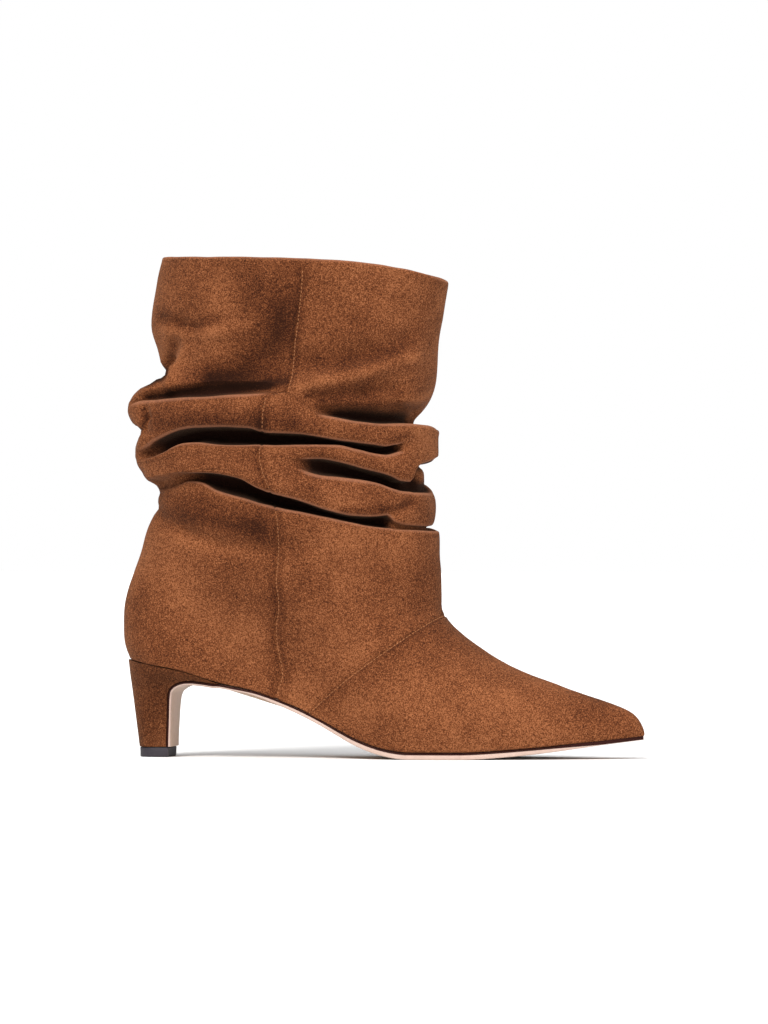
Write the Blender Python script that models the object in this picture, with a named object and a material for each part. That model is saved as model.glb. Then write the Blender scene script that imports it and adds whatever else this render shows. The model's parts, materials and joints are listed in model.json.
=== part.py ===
# Slouch boot with a pointed toe and a slim covered heel: a right boot, standing empty on its sole.
# Metres. +X runs to the toe, +Y to the inner side, +Z up. The origin is on the floor, in the tread of the
# heel tip.

import math

import bmesh
import bpy
import numpy as np

# The last, and what is lasted on it
LAST_LENGTH = 0.2605  # feather line, from the back of the seat to the toe tip
LAST_BACK = -0.0138  # where the feather line starts, behind the heel tip's middle
BALL_WIDTH = 0.080
HEEL_RISE = 0.0424  # seat above the forepart, over the heel tip
TOE_SPRING = 0.0078
INSTEP_HEIGHT = 0.0677  # ridge above the insole, at the break
COUNTER_SWELL = 0.0035  # how far the counter stands behind the seat
FEATHER_TUCK = 0.055  # share by which the upper draws in at the feather line
WIDEST = 0.26  # share of the ridge height at which a section is widest
RIDGE_SLOPE = 0.30  # how much a section flattens on its way up to the ridge
SEAT_ROUND = 0.100  # share of the last taken by the round of the seat
TOE_ROUND = 0.038  # share of the last taken by the round of the toe

# The shaft
SHAFT_HEIGHT = 0.2530
SHAFT_DEPTH = 0.1400  # back to front, between the rolls
SHAFT_WIDTH = 0.0840
SHAFT_BACK = 0.0000  # back of the shaft, from the heel tip's middle
NOSE_HOLD = 4  # the higher, the longer the front stays out before it draws in to the ankle
BREAK_REACH = 0.0046  # how far the instep break stands ahead of the shaft's front
ANKLE_SLIM = 0.24  # share of the shaft's width lost at the feather line
FOLD_DEPTH = 0.0135
ROLL_SWELL = 0.0120
LIP_ROUND = 0.0017  # half width of the round where a roll turns in
LIP_SHARE = 0.42  # most of a short face that a lip's round may take
FOOT_SHARE = 0.08  # share of the way to the ankle below which the foot keeps its last's width
BLEND_SHARE = 0.28  # share of the way, below the ankle, over which the foot turns into the shaft
ROLL_SAG = 0.0016  # how far a roll's lips lie behind its belly
PIT_SHARE = 0.30  # where the inner corners of a fold lie between its lips
FOLD_OPEN = 0.40  # a fold shallower than this share of its depth fades into the line of its rolls

# Leathers and fits
WALL = 0.0018
MITRE = 0.75  # at a sharp corner the wall's offset is at most WALL divided by this
SOLE_THICKNESS = 0.0034
SOLE_INSET = 0.0004  # sole edge inside the feather line
BREAST_THICKNESS = 0.0016
INSOLE_THICKNESS = 0.0024
INSOLE_PLAY = 0.0006
INSOLE_TOE_ROOM = 0.0046
BLUNT = 0.0004  # the sole's and insole's tips are cut off half this far from a point
SOLE_LEAVE = 0.0030  # how far ahead of the seat's end the sole starts to curve down
GAP = 0.0003

# The heel
TIP_HEIGHT = 0.0050
TIP_LENGTH = 0.0152
TIP_BACK = -0.0089
TIP_WIDTH = 0.022
TIP_ROUND = 0.62  # share of the tip's length taken by the round of its back
HEEL_DEPTH = 0.0132  # the covered heel at the tip, back to breast
HEEL_OVERLAP = 0.0266  # how far the seat runs forward of the breast, to where the sole leaves it

# How finely the solids are divided
SIDE_STEPS = 28
FOOT_RINGS = 14
RING_CROWD = 1.15  # above 1 the foot's rings lie closer together at the feather line
EDGE_STEPS = 16
RIDGE_STEPS = 400
SHARP_ANGLE = 40  # degrees between faces that meet at a hard edge

# Stations along the last, from the back of the seat to the toe tip. Heel is a share of HEEL_RISE, spring
# of TOE_SPRING, outer and inner of BALL_WIDTH, ridge of INSTEP_HEIGHT, sole of SOLE_THICKNESS.
LAST_COLUMNS = ("along", "heel", "spring", "outer", "inner", "ridge", "sole")
LAST_SECTIONS = (
    (0.000, 1.083, 0.000, 0.325, 0.325, 1.62, 0.80),
    (0.054, 1.010, 0.000, 0.335, 0.335, 1.62, 0.80),
    (0.128, 0.908, 0.000, 0.348, 0.342, 1.62, 0.80),
    (0.202, 0.779, 0.000, 0.336, 0.312, 1.61, 0.80),
    (0.297, 0.623, 0.000, 0.322, 0.260, 1.59, 0.82),
    (0.345, 0.512, 0.000, 0.328, 0.250, 1.57, 0.84),
    (0.400, 0.343, 0.000, 0.358, 0.268, 1.53, 0.88),
    (0.445, 0.196, 0.000, 0.395, 0.305, 1.46, 0.95),
    (0.508, 0.051, 0.000, 0.452, 0.372, 1.30, 1.00),
    (0.559, 0.000, 0.000, 0.488, 0.430, 1.15, 1.00),
    (0.613, 0.000, 0.000, 0.494, 0.476, 0.98, 1.00),
    (0.667, 0.000, 0.000, 0.470, 0.492, 0.805, 1.00),
    (0.727, 0.000, 0.100, 0.416, 0.460, 0.644, 0.98),
    (0.788, 0.000, 0.260, 0.346, 0.392, 0.525, 0.92),
    (0.874, 0.000, 0.540, 0.240, 0.272, 0.369, 0.76),
    (0.931, 0.000, 0.740, 0.168, 0.184, 0.280, 0.66),
    (0.966, 0.000, 0.870, 0.122, 0.130, 0.222, 0.62),
    (1.000, 0.000, 1.000, 0.080, 0.082, 0.155, 0.60),
)
FLAT_FROM, FLAT_TO = 0.550, 0.668  # the forepart rests on the floor between these shares of the last

# The counter's outline at the back, from the seat to the ankle crease. Back is a share of COUNTER_SWELL
# behind the seat, and ahead a share of the way from the seat's back to the shaft's back.
COUNTER_COLUMNS = ("up", "back", "ahead")
COUNTER = (
    (0.00, 0.00, 0.00),
    (0.06, 0.62, 0.00),
    (0.13, 0.95, 0.00),
    (0.22, 1.00, 0.00),
    (0.34, 0.82, 0.00),
    (0.46, 0.25, 0.03),
    (0.58, 0.00, 0.24),
    (0.72, 0.00, 0.52),
    (0.86, 0.00, 0.76),
    (1.00, 0.00, 1.06),
)

# Folds of the shaft, from the ankle up, at ten places round it: the back, the outer side to the front, and
# the inner side home. Low and high are the heights of a fold's lips as shares of SHAFT_HEIGHT, and depth
# is a share of FOLD_DEPTH.
PLACES = (
    "back", "outer_heel", "outer_rear", "outer_fore", "outer_instep",
    "front", "inner_instep", "inner_fore", "inner_rear", "inner_heel",
)
FOLDS = {
    "ankle": {
        "low": (0.531, 0.557, 0.514, 0.476, 0.457, 0.453, 0.462, 0.482, 0.506, 0.536),
        "high": (0.556, 0.570, 0.545, 0.492, 0.468, 0.463, 0.474, 0.502, 0.530, 0.555),
        "depth": (0.02, 0.28, 0.98, 1.00, 0.52, 0.15, 0.50, 0.92, 0.86, 0.34),
    },
    "middle": {
        "low": (0.592, 0.590, 0.574, 0.562, 0.533, 0.530, 0.548, 0.578, 0.596, 0.598),
        "high": (0.604, 0.602, 0.590, 0.589, 0.552, 0.543, 0.566, 0.602, 0.616, 0.612),
        "depth": (0.02, 0.02, 0.04, 0.76, 0.88, 0.04, 0.30, 0.66, 0.76, 0.30),
    },
    "upper": {
        "low": (0.643, 0.631, 0.625, 0.625, 0.614, 0.571, 0.606, 0.648, 0.664, 0.656),
        "high": (0.659, 0.661, 0.656, 0.637, 0.628, 0.589, 0.622, 0.668, 0.684, 0.672),
        "depth": (0.25, 0.76, 0.98, 0.92, 0.44, 0.46, 0.80, 0.90, 0.70, 0.40),
    },
    "collar": {
        "low": (0.733, 0.719, 0.726, 0.680, 0.665, 0.662, 0.676, 0.706, 0.730, 0.732),
        "high": (0.766, 0.733, 0.740, 0.692, 0.683, 0.686, 0.698, 0.722, 0.746, 0.758),
        "depth": (0.02, 0.20, 0.30, 0.40, 0.90, 0.05, 0.60, 0.30, 0.40, 0.20),
    },
}

# How far the shaft stands out at the same ten places, as shares of ROLL_SWELL: below the first fold, on
# the belly of each roll, and up the collar, where level is a share of the way from the last fold's lip.
ROLLS = {
    "ankle": (0.00, 0.00, 0.10, 0.16, 0.22, 0.30, 0.20, 0.14, 0.08, 0.00),
    "lower": (0.74, 0.48, 0.42, 0.44, 0.32, 0.10, 0.28, 0.40, 0.44, 0.52),
    "middle": (0.92, 0.68, 0.50, 0.36, 0.18, -0.32, 0.14, 0.40, 0.58, 0.76),
    "upper": (1.18, 0.84, 0.56, 0.44, 0.36, 0.32, 0.38, 0.46, 0.66, 0.98),
}
COLLAR = {
    "foot": (0.00, (-0.32, -0.26, -0.10, 0.12, 0.06, -0.62, 0.00, 0.12, -0.06, -0.24)),
    "dip": (0.18, (-0.14, -0.32, -0.36, -0.02, 0.14, 0.11, 0.08, -0.08, -0.28, -0.18)),
    "swell": (0.46, (0.34, 0.16, 0.06, 0.18, 0.30, 0.26, 0.28, 0.16, 0.10, 0.24)),
    "neck": (0.76, (0.00, 0.08, 0.16, 0.24, 0.44, 0.52, 0.42, 0.24, 0.16, 0.08)),
    "edge": (1.00, (-0.22, -0.04, 0.18, 0.28, 0.52, 0.68, 0.50, 0.28, 0.16, -0.06)),
}
COLLAR_TOP = (1.000, 0.998, 0.995, 0.989, 0.973, 0.950, 0.969, 0.985, 0.993, 0.998)

# The heel from the tip up. Level is a share of its height, width of the way from the tip's width to the
# seat's, and breast of HEEL_OVERLAP.
HEEL_COLUMNS = ("level", "width", "breast")
HEEL_LEVELS = (
    (0.00, 0.00, 0.000),
    (0.30, 0.06, -0.012),
    (0.60, 0.28, -0.016),
    (0.70, 0.42, 0.002),
    (0.77, 0.54, 0.090),
    (0.84, 0.68, 0.250),
    (0.89, 0.78, 0.415),
    (0.94, 0.89, 0.690),
    (1.00, 1.00, 1.000),
)

SUEDE = (0.27, 0.095, 0.038, 1.0)
SOLE_LEATHER = (0.56, 0.38, 0.29, 1.0)
TIP_RUBBER = (0.03, 0.027, 0.03, 1.0)
SOCK_LEATHER = (0.50, 0.31, 0.19, 1.0)


def smooth_curve(places, values):
    # A natural cubic curve through values chosen by hand.
    x, y = np.array(places, float), np.array(values, float)
    step, count = np.diff(x), len(x)
    system, right = np.eye(count), np.zeros(count)
    for i in range(1, count - 1):
        system[i, i - 1 : i + 2] = step[i - 1], 2 * (step[i - 1] + step[i]), step[i]
        right[i] = 6 * ((y[i + 1] - y[i]) / step[i] - (y[i] - y[i - 1]) / step[i - 1])
    bend = np.linalg.solve(system, right)

    def at(place):
        p = np.clip(place, x[0], x[-1])
        i = np.clip(np.searchsorted(x, p, side="right") - 1, 0, count - 2)
        left, over, width = x[i + 1] - p, p - x[i], step[i]
        cubic = (bend[i] * left**3 + bend[i + 1] * over**3) / (6 * width)
        start = (y[i] / width - bend[i] * width / 6) * left
        return cubic + start + (y[i + 1] / width - bend[i + 1] * width / 6) * over

    return at


def column(table, columns, name):
    return [row[columns.index(name)] for row in table]


def last_curve(name):
    along = column(LAST_SECTIONS, LAST_COLUMNS, "along")
    return smooth_curve(along, column(LAST_SECTIONS, LAST_COLUMNS, name))


def round_curve(values):
    # A smooth closed curve round the shaft: turn 0 is the back, 1 the front, and 1 to 2 the inner side.
    count = len(PLACES)
    places = np.arange(-count, 2 * count + 1) * 2 / count
    return smooth_curve(places, [values[i % count] for i in range(3 * count + 1)])


def ease(share):
    s = np.clip(share, 0, 1)
    return s * s * (3 - 2 * s)


def end_round(distance, length):
    # Grows from 0 to 1 over the length, as the side of an ellipse does.
    d = np.clip(distance / length, 0, 1)
    return np.sqrt(d * (2 - d))


LAST = {name: last_curve(name) for name in LAST_COLUMNS[1:]}
HEEL_ROWS = [dict(zip(HEEL_COLUMNS, row)) for row in HEEL_LEVELS]
LIPS = {(fold, part): round_curve(rows) for fold in FOLDS for part, rows in FOLDS[fold].items()}
BELLIES = {name: round_curve(shares) for name, shares in ROLLS.items()}
COLLAR_OUT = {name: round_curve(shares) for name, (level, shares) in COLLAR.items()}
COLLAR_EDGE = round_curve(COLLAR_TOP)
TOE_X = LAST_BACK + LAST_LENGTH
SHAFT_FRONT = SHAFT_BACK + SHAFT_DEPTH
BREAK_X = SHAFT_FRONT + BREAK_REACH
BREAST_X = TIP_BACK + HEEL_DEPTH
SEAT_END_X = BREAST_X + HEEL_OVERLAP


def base_height(x):
    # The underside of the upper and insole.
    a = (x - LAST_BACK) / LAST_LENGTH
    lift = HEEL_RISE * LAST["heel"](a) + TOE_SPRING * LAST["spring"](a)
    flat = (a > FLAT_FROM) & (a < FLAT_TO)
    return SOLE_THICKNESS + GAP + np.where(flat, 0, np.maximum(lift, 0))


def last_width(x, side):
    # Half width of the last at its widest, to the outer side (below 0) or the inner.
    a = (x - LAST_BACK) / LAST_LENGTH
    return BALL_WIDTH * np.where(side < 0, LAST["outer"](a), LAST["inner"](a))


def end_shape(share):
    # How the width of an outline falls away at the seat and the toe.
    return end_round(share, SEAT_ROUND) * end_round(1 - share, TOE_ROUND)


def feather_width(x, share, side, inset):
    # Half width of an outline that lies that far inside the feather line.
    return (last_width(x, side) * (1 - FEATHER_TUCK) - inset) * end_shape(share)


def ridge_height(x):
    a = (x - LAST_BACK) / LAST_LENGTH
    return INSTEP_HEIGHT * LAST["ridge"](a) * end_round(1 - a, TOE_ROUND)


def section_width(rise):
    # Width of a last section at a share of its ridge height: drawn in at the feather, rounded at the ridge.
    low = 1 - FEATHER_TUCK * np.clip((WIDEST - rise) / WIDEST, 0, 1) ** 2
    up = np.clip((rise - WIDEST) / (1 - WIDEST), 0, 1)
    return np.where(rise < WIDEST, low, np.sqrt(1 - up**2) * (1 - RIDGE_SLOPE * up * (1 - up)))


def tube(turn, out):
    # A point of the shaft's plan, that far outside its plain oval.
    half, wide = SHAFT_DEPTH / 2, SHAFT_WIDTH / 2
    c, s = np.cos(math.pi * turn), -np.sin(math.pi * turn)
    size = np.hypot(c / half, s / wide)
    x = SHAFT_BACK + half * (1 - c) - out * (c / half) / size
    return x, wide * s + out * (s / wide) / size


def fold_lips(index, turn):
    # Height and stand-out of a fold's two lips, and of the bottom of the fold.
    fold, under = list(FOLDS)[index], BELLIES[list(ROLLS)[index]](turn)
    if index + 1 < len(ROLLS):
        over = BELLIES[list(ROLLS)[index + 1]](turn)
    else:
        over = COLLAR_OUT["foot"](turn) + ROLL_SAG / ROLL_SWELL
    depth = np.maximum(LIPS[fold, "depth"](turn), 0)
    held = np.clip(depth / FOLD_OPEN + np.abs(under - over), 0, 1)
    middle = (under + over) / 2
    low_out = ROLL_SWELL * (middle + (under - middle) * held) - ROLL_SAG * held
    high_out = ROLL_SWELL * (middle + (over - middle) * held) - ROLL_SAG * held
    floor = np.minimum(low_out, high_out) - FOLD_DEPTH * depth
    low, high = SHAFT_HEIGHT * LIPS[fold, "low"](turn), SHAFT_HEIGHT * LIPS[fold, "high"](turn)
    return low, high, low_out, high_out, floor


def nose_of(rise):
    # Front end of a foot ring: on the instep ridge up to the break, then on the shaft's front.
    x = np.linspace(BREAK_X, TOE_X, RIDGE_STEPS)
    low, high, front, high_out, floor = fold_lips(0, 1.0)
    reach = ridge_height(x) / (low - LIP_ROUND - base_height(x))
    if rise <= reach[0]:
        return float(np.interp(rise, reach[::-1], x[::-1])), reach[0]
    above = (rise - reach[0]) / (1 - reach[0])
    return float(BREAK_X + (SHAFT_FRONT + front - BREAK_X) * above**NOSE_HOLD), reach[0]


def heel_of(rise):
    # Back end of a foot ring, on the counter's outline.
    up = column(COUNTER, COUNTER_COLUMNS, "up")
    back = smooth_curve(up, column(COUNTER, COUNTER_COLUMNS, "back"))(rise)
    ahead = smooth_curve(up, column(COUNTER, COUNTER_COLUMNS, "ahead"))(rise)
    return float(LAST_BACK - COUNTER_SWELL * back + (SHAFT_BACK - LAST_BACK) * ahead)


def foot_ring(rise, turn):
    # A ring of the foot: rise 0 is the feather line and 1 lies just under the ankle fold.
    nose, break_rise = nose_of(rise)
    heel = heel_of(rise)
    side = np.where(turn <= 1, -1, 1)
    t = np.where(turn <= 1, turn, 2 - turn)
    x = heel + (nose - heel) * (1 - np.cos(math.pi * t)) / 2
    low, high, low_out, high_out, floor = fold_lips(0, turn)
    base = base_height(x)
    z = base * (1 - rise) + (low - LIP_ROUND) * rise
    front_top = SHAFT_HEIGHT * LIPS["ankle", "low"](1.0) - LIP_ROUND
    share = np.minimum(rise * (front_top - base) / np.maximum(ridge_height(x), 1e-6), 1)
    width = last_width(x, side) * end_shape((x - heel) / (TOE_X - heel)) * section_width(share)
    oval = SHAFT_WIDTH / 2 * (1 - ANKLE_SLIM * (1 - rise)) * np.sin(math.pi * t)
    width = width + (oval - width) * ease((rise - FOOT_SHARE) / (break_rise - FOOT_SHARE))
    tx, ty = tube(turn, low_out)
    near = ease((rise - 1 + BLEND_SHARE) / BLEND_SHARE)
    return np.stack([x + (tx - x) * near, side * width + (ty - side * width) * near, z], axis=1)


def rounded(before, corner, after):
    # Two points in place of a corner, each a lip's round away from it.
    pair = []
    for end in (before, after):
        span = np.linalg.norm(end - corner, axis=0)
        pair.append(corner + (end - corner) * np.minimum(LIP_ROUND / span, LIP_SHARE))
    return pair


def shaft_rings(turn):
    # The rings from the ankle fold to the collar's edge.
    folds = [fold_lips(index, turn) for index in range(len(FOLDS))]
    corners, lips = [], []
    for index, (low, high, low_out, high_out, floor) in enumerate(folds):
        inset = PIT_SHARE * (high - low)
        corners += [(low_out, low), (floor, low + inset), (floor, high - inset), (high_out, high)]
        lips += [True, False, False, True]
        if index + 1 < len(folds):
            belly = ROLL_SWELL * BELLIES[list(ROLLS)[index + 1]](turn)
            corners.append((belly, (high + folds[index + 1][0]) / 2))
            lips.append(False)
    start, top = folds[-1][1], SHAFT_HEIGHT * COLLAR_EDGE(turn)
    for name, (level, shares) in list(COLLAR.items())[1:]:
        corners.append((ROLL_SWELL * COLLAR_OUT[name](turn), start + (top - start) * level))
        lips.append(False)
    corners = [np.array(corner) for corner in corners]
    under = np.array([corners[0][0], corners[0][1] - LIP_ROUND])
    profile = []
    for index, corner in enumerate(corners):
        if not lips[index]:
            profile.append(corner)
        elif index == 0:
            profile.append(rounded(under, corner, corners[1])[1])
        else:
            profile += rounded(corners[index - 1], corner, corners[index + 1])
    return [np.stack([*tube(turn, out), z], axis=1) for out, z in profile]


def wall_inside(rings):
    # The inner face of the wall: each ring moved in along the skin, level at the two open edges.
    skin = np.array(rings)
    step = np.diff(skin, axis=0)
    step /= np.linalg.norm(step, axis=2, keepdims=True)
    up = np.concatenate([step[:1], step[:-1] + step[1:], step[-1:]])
    square = np.clip(np.linalg.norm(up, axis=2, keepdims=True) / 2, MITRE, 1)
    square[0] = square[-1] = 1
    across = np.roll(skin, -1, axis=1) - np.roll(skin, 1, axis=1)
    outward = np.cross(across, up)
    outward[0, :, 2] = outward[-1, :, 2] = 0
    outward /= np.linalg.norm(outward, axis=2, keepdims=True)
    return skin - outward * WALL / square


def material(name, colour, roughness):
    made = bpy.data.materials.new(name)
    made.use_nodes = True
    shader = made.node_tree.nodes["Principled BSDF"]
    shader.inputs["Base Color"].default_value = colour
    shader.inputs["Roughness"].default_value = roughness
    return made


def loft(name, rings, finish, hollow=False):
    # One closed solid through rings of equal count. Its ends are ruled across from side to side, or, where
    # it is hollow, its last ring is joined to its first.
    mesh = bmesh.new()
    loops = [[mesh.verts.new(point) for point in ring] for ring in rings]
    count = len(loops[0])
    for low, high in zip(loops, loops[1:] + loops[:1] if hollow else loops[1:]):
        for i in range(count):
            j = (i + 1) % count
            mesh.faces.new((low[i], low[j], high[j], high[i]))
    for loop in () if hollow else (loops[0], loops[-1]):
        for i in range(count // 2 - 1):
            mesh.faces.new((loop[i], loop[i + 1], loop[count - 2 - i], loop[count - 1 - i]))
    bmesh.ops.recalc_face_normals(mesh, faces=mesh.faces)
    data = bpy.data.meshes.new(name)
    mesh.to_mesh(data)
    mesh.free()
    data.materials.append(finish)
    data.shade_smooth()
    data.set_sharp_from_angle(angle=math.radians(SHARP_ANGLE))
    made = bpy.data.objects.new(name, data)
    boot.objects.link(made)
    return made


def feather_stations(start, end):
    # The places at which the upper's lowest ring bends, between two ends, so that what lies on them fits.
    t = np.arange(SIDE_STEPS + 1) / SIDE_STEPS
    x = LAST_BACK + LAST_LENGTH * (1 - np.cos(math.pi * t)) / 2
    return np.array([start, *x[(x > start + BLUNT) & (x < end - BLUNT)], end])


def sock_ring(height):
    # A closed ring inside the wall of the upper, that far above its underside.
    inset = WALL + INSOLE_PLAY
    start, end = LAST_BACK + inset, TOE_X - inset - INSOLE_TOE_ROOM
    x = feather_stations(start + BLUNT / 2, end - BLUNT / 2)
    share = (x - start) / (end - start)
    z = base_height(x) + height
    sides = [np.stack([x, side * feather_width(x, share, side, inset), z], axis=1) for side in (-1, 1)]
    return np.concatenate([sides[0], sides[1][::-1]])


def heel_ring(level, width, breast):
    # A level of the heel: round at the back, straight across the breast.
    t = (np.arange(EDGE_STEPS) + 0.5) / (EDGE_STEPS - 0.5)
    share = 1 - np.cos(math.pi * t / 2)
    back = TIP_BACK + (LAST_BACK + SOLE_INSET - TIP_BACK) * level
    x = back + (BREAST_X + HEEL_OVERLAP * breast - back) * share
    seat_x = LAST_BACK + (SEAT_END_X - LAST_BACK) * share
    tip = TIP_WIDTH / 2 * end_round(share, TIP_ROUND)
    bottom = TIP_HEIGHT + GAP
    z = bottom + (base_height(x) - GAP - bottom) * level
    sides = []
    for side in (-1, 1):
        seat = feather_width(seat_x, (seat_x - LAST_BACK) / LAST_LENGTH, side, SOLE_INSET)
        sides.append(np.stack([x, side * (tip + (seat - tip) * width), z], axis=1))
    return np.concatenate([sides[0], sides[1][::-1]])


def sole_path():
    # Stations of the sole's upper face from the toe back to the seat, then down the heel's breast: place,
    # height, thickness, and half width to each side.
    tip = TOE_X - SOLE_INSET
    stations = []
    for x in feather_stations(SEAT_END_X + SOLE_LEAVE, tip - BLUNT / 2)[::-1]:
        share = (x - LAST_BACK) / (tip - LAST_BACK)
        thick = SOLE_THICKNESS * float(LAST["sole"]((x - LAST_BACK) / LAST_LENGTH))
        widths = [float(feather_width(x, share, side, SOLE_INSET)) for side in (-1, 1)]
        stations.append((x, float(base_height(x)) - GAP, thick, *widths))
    for row in HEEL_ROWS[::-1]:
        ring = heel_ring(**row)
        corner, far = ring[EDGE_STEPS - 1], ring[EDGE_STEPS]
        stations.append((corner[0], corner[2], BREAST_THICKNESS, -corner[1], far[1]))
    return np.array(stations)


def sole_rings():
    path = sole_path()
    way = np.diff(path[:, [0, 1]], axis=0)
    way /= np.linalg.norm(way, axis=1, keepdims=True)
    way = np.concatenate([way[:1], way[:-1] + way[1:], [(0, -1)]])
    way /= np.linalg.norm(way, axis=1, keepdims=True)
    rings = []
    for (x, z, thick, outer, inner), (wx, wz) in zip(path, way):
        on_breast = x < SEAT_END_X + SOLE_LEAVE / 2
        away = np.array((-wz, wx) if on_breast else (0, -1))
        clear = GAP if on_breast else 0
        top, low = (x, z) + away * clear, (x, z) + away * (clear + thick)
        rings.append([(e[0], y, e[1]) for e, y in ((top, -outer), (top, inner), (low, inner), (low, -outer))])
    return rings


for old in list(bpy.data.objects):
    bpy.data.objects.remove(old, do_unlink=True)
boot = bpy.data.collections.new("slouch_boot")
bpy.context.scene.collection.children.link(boot)

turn = np.arange(2 * SIDE_STEPS) / SIDE_STEPS
rises = [(step / FOOT_RINGS) ** RING_CROWD for step in range(FOOT_RINGS + 1)]
skin = [foot_ring(rise, turn) for rise in rises] + shaft_rings(turn)
inside = wall_inside(skin)
upper = loft("upper", skin + list(inside[::-1]), material("suede", SUEDE, 0.9), hollow=True)

sock = [sock_ring(height) for height in (0, INSOLE_THICKNESS)]
insole = loft("insole", sock, material("sock_leather", SOCK_LEATHER, 0.7))

outsole = loft("outsole", sole_rings(), material("sole_leather", SOLE_LEATHER, 0.5))
heel = loft("heel", [heel_ring(**row) for row in HEEL_ROWS], material("heel_cover", SUEDE, 0.9))

tread = heel_ring(**HEEL_ROWS[0])
tread[:, 0] = TIP_BACK + (tread[:, 0] - TIP_BACK) * TIP_LENGTH / HEEL_DEPTH
tread[:, 2] = 0
crown = tread + (0, 0, TIP_HEIGHT)
top_piece = loft("top_piece", [tread, crown], material("tip_rubber", TIP_RUBBER, 0.45))
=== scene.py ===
# Dresses the slouch boot: a suede upper with its folds and seams, a leather sole with a flap down the heel,
# a covered heel, a rubber tip and an insole. Shapes are worked out in millimetres and placed in metres.
import json
import math

import bmesh
import bpy
import numpy as np
from mathutils import Matrix, Vector, noise

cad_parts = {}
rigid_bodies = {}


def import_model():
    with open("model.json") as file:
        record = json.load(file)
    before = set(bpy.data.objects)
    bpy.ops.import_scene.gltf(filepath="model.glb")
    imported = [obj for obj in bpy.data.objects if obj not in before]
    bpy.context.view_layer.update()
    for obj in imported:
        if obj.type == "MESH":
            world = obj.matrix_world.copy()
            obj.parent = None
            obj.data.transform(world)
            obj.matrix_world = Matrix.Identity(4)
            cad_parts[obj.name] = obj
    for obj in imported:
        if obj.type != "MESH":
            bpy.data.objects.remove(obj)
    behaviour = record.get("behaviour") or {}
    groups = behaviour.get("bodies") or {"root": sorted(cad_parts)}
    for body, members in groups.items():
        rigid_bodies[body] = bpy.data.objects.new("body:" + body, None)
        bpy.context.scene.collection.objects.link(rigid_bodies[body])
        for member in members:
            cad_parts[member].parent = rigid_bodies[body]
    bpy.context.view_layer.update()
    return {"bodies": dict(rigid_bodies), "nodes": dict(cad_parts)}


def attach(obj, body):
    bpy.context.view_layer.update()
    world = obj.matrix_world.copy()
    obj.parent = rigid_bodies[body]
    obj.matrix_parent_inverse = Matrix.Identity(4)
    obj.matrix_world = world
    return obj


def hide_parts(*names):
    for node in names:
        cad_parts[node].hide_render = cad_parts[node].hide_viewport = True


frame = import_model()
body = list(frame["bodies"])[0]
scene = bpy.context.scene
print("frame loaded:", ", ".join(sorted(frame["nodes"])))


# Curves and surfaces

def naturalCurve(places, values):  # a cubic curve through all of its points
    x, y = np.array(places, float), np.array(values, float)
    step, count = np.diff(x), len(x)
    system, right = np.eye(count), np.zeros(count)
    for i in range(1, count - 1):
        system[i, i - 1:i + 2] = step[i - 1], 2 * (step[i - 1] + step[i]), step[i]
        right[i] = 6 * ((y[i + 1] - y[i]) / step[i] - (y[i] - y[i - 1]) / step[i - 1])
    bend = np.linalg.solve(system, right)

    def at(place):
        p = np.clip(place, x[0], x[-1])
        i = np.clip(np.searchsorted(x, p, side="right") - 1, 0, count - 2)
        left, over, width = x[i + 1] - p, p - x[i], step[i]
        cubic = (bend[i] * left**3 + bend[i + 1] * over**3) / (6 * width)
        start = (y[i] / width - bend[i] * width / 6) * left
        return cubic + start + (y[i + 1] / width - bend[i + 1] * width / 6) * over

    return at


def calmCurve(places, values, period=0.0):  # a curve that never swings past its points; closed with a period
    x, y = np.array(places, float), np.array(values, float)
    if period:
        x, y = np.concatenate([x - period, x, x + period]), np.tile(y, 3)
    step = np.diff(x)
    slope = np.diff(y) / step
    left, right = slope[:-1], slope[1:]
    same = left * right > 0
    a, b = 2 * step[1:] + step[:-1], step[1:] + 2 * step[:-1]
    bottom = a / np.where(same, left, 1) + b / np.where(same, right, 1)
    tangent = np.zeros(len(x))
    tangent[1:-1] = np.where(same, (a + b) / np.where(same, bottom, 1), 0)

    def at(place):
        p = np.mod(place, period) if period else np.clip(place, x[0], x[-1])
        i = np.clip(np.searchsorted(x, p, side="right") - 1, 0, len(x) - 2)
        t = (p - x[i]) / step[i]
        rise = y[i] * (1 + 2 * t) * (1 - t)**2 + y[i + 1] * t * t * (3 - 2 * t)
        return rise + step[i] * t * (1 - t) * (tangent[i] * (1 - t) - tangent[i + 1] * t)

    return at


def ease(share):
    s = np.clip(share, 0, 1)
    return s * s * (3 - 2 * s)


def ramped(value, ramp):  # from 0 at the ramp's start to 1 past its span
    return ease((value - ramp[0]) / ramp[1])


def endRound(distance, length):
    d = np.clip(distance / length, 0, 1)
    return np.sqrt(d * (2 - d))


def flowRows(rows, samples):  # a smooth B-spline up through rows of control points
    ends = np.concatenate([[2 * rows[0] - rows[1]], rows, [2 * rows[-1] - rows[-2]]])
    flowed = []
    for i in range(len(rows) - 1):
        for t in np.arange(samples) / samples:
            weights = ((1 - t)**3, 3 * t**3 - 6 * t**2 + 4, -3 * t**3 + 3 * t**2 + 3 * t + 1, t**3)
            flowed.append(sum(w * row for w, row in zip(weights, ends[i:i + 4])) / 6)
    flowed.append(rows[-1])
    return np.array(flowed)


def gridShell(rows, closedRows=False):  # a bmesh skin over rings of points, each ring closed on itself
    rows = np.concatenate([rows, rows[:, :1]], axis=1)
    if closedRows:
        rows = np.concatenate([rows, rows[:1]])
    bm = bmesh.new()
    bmesh.ops.create_grid(bm, x_segments=rows.shape[1] - 1, y_segments=rows.shape[0] - 1, size=1)
    for vert, place in zip(bm.verts, rows.reshape(-1, rows.shape[2])):
        vert.co = place[:3]
    return bm


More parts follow.
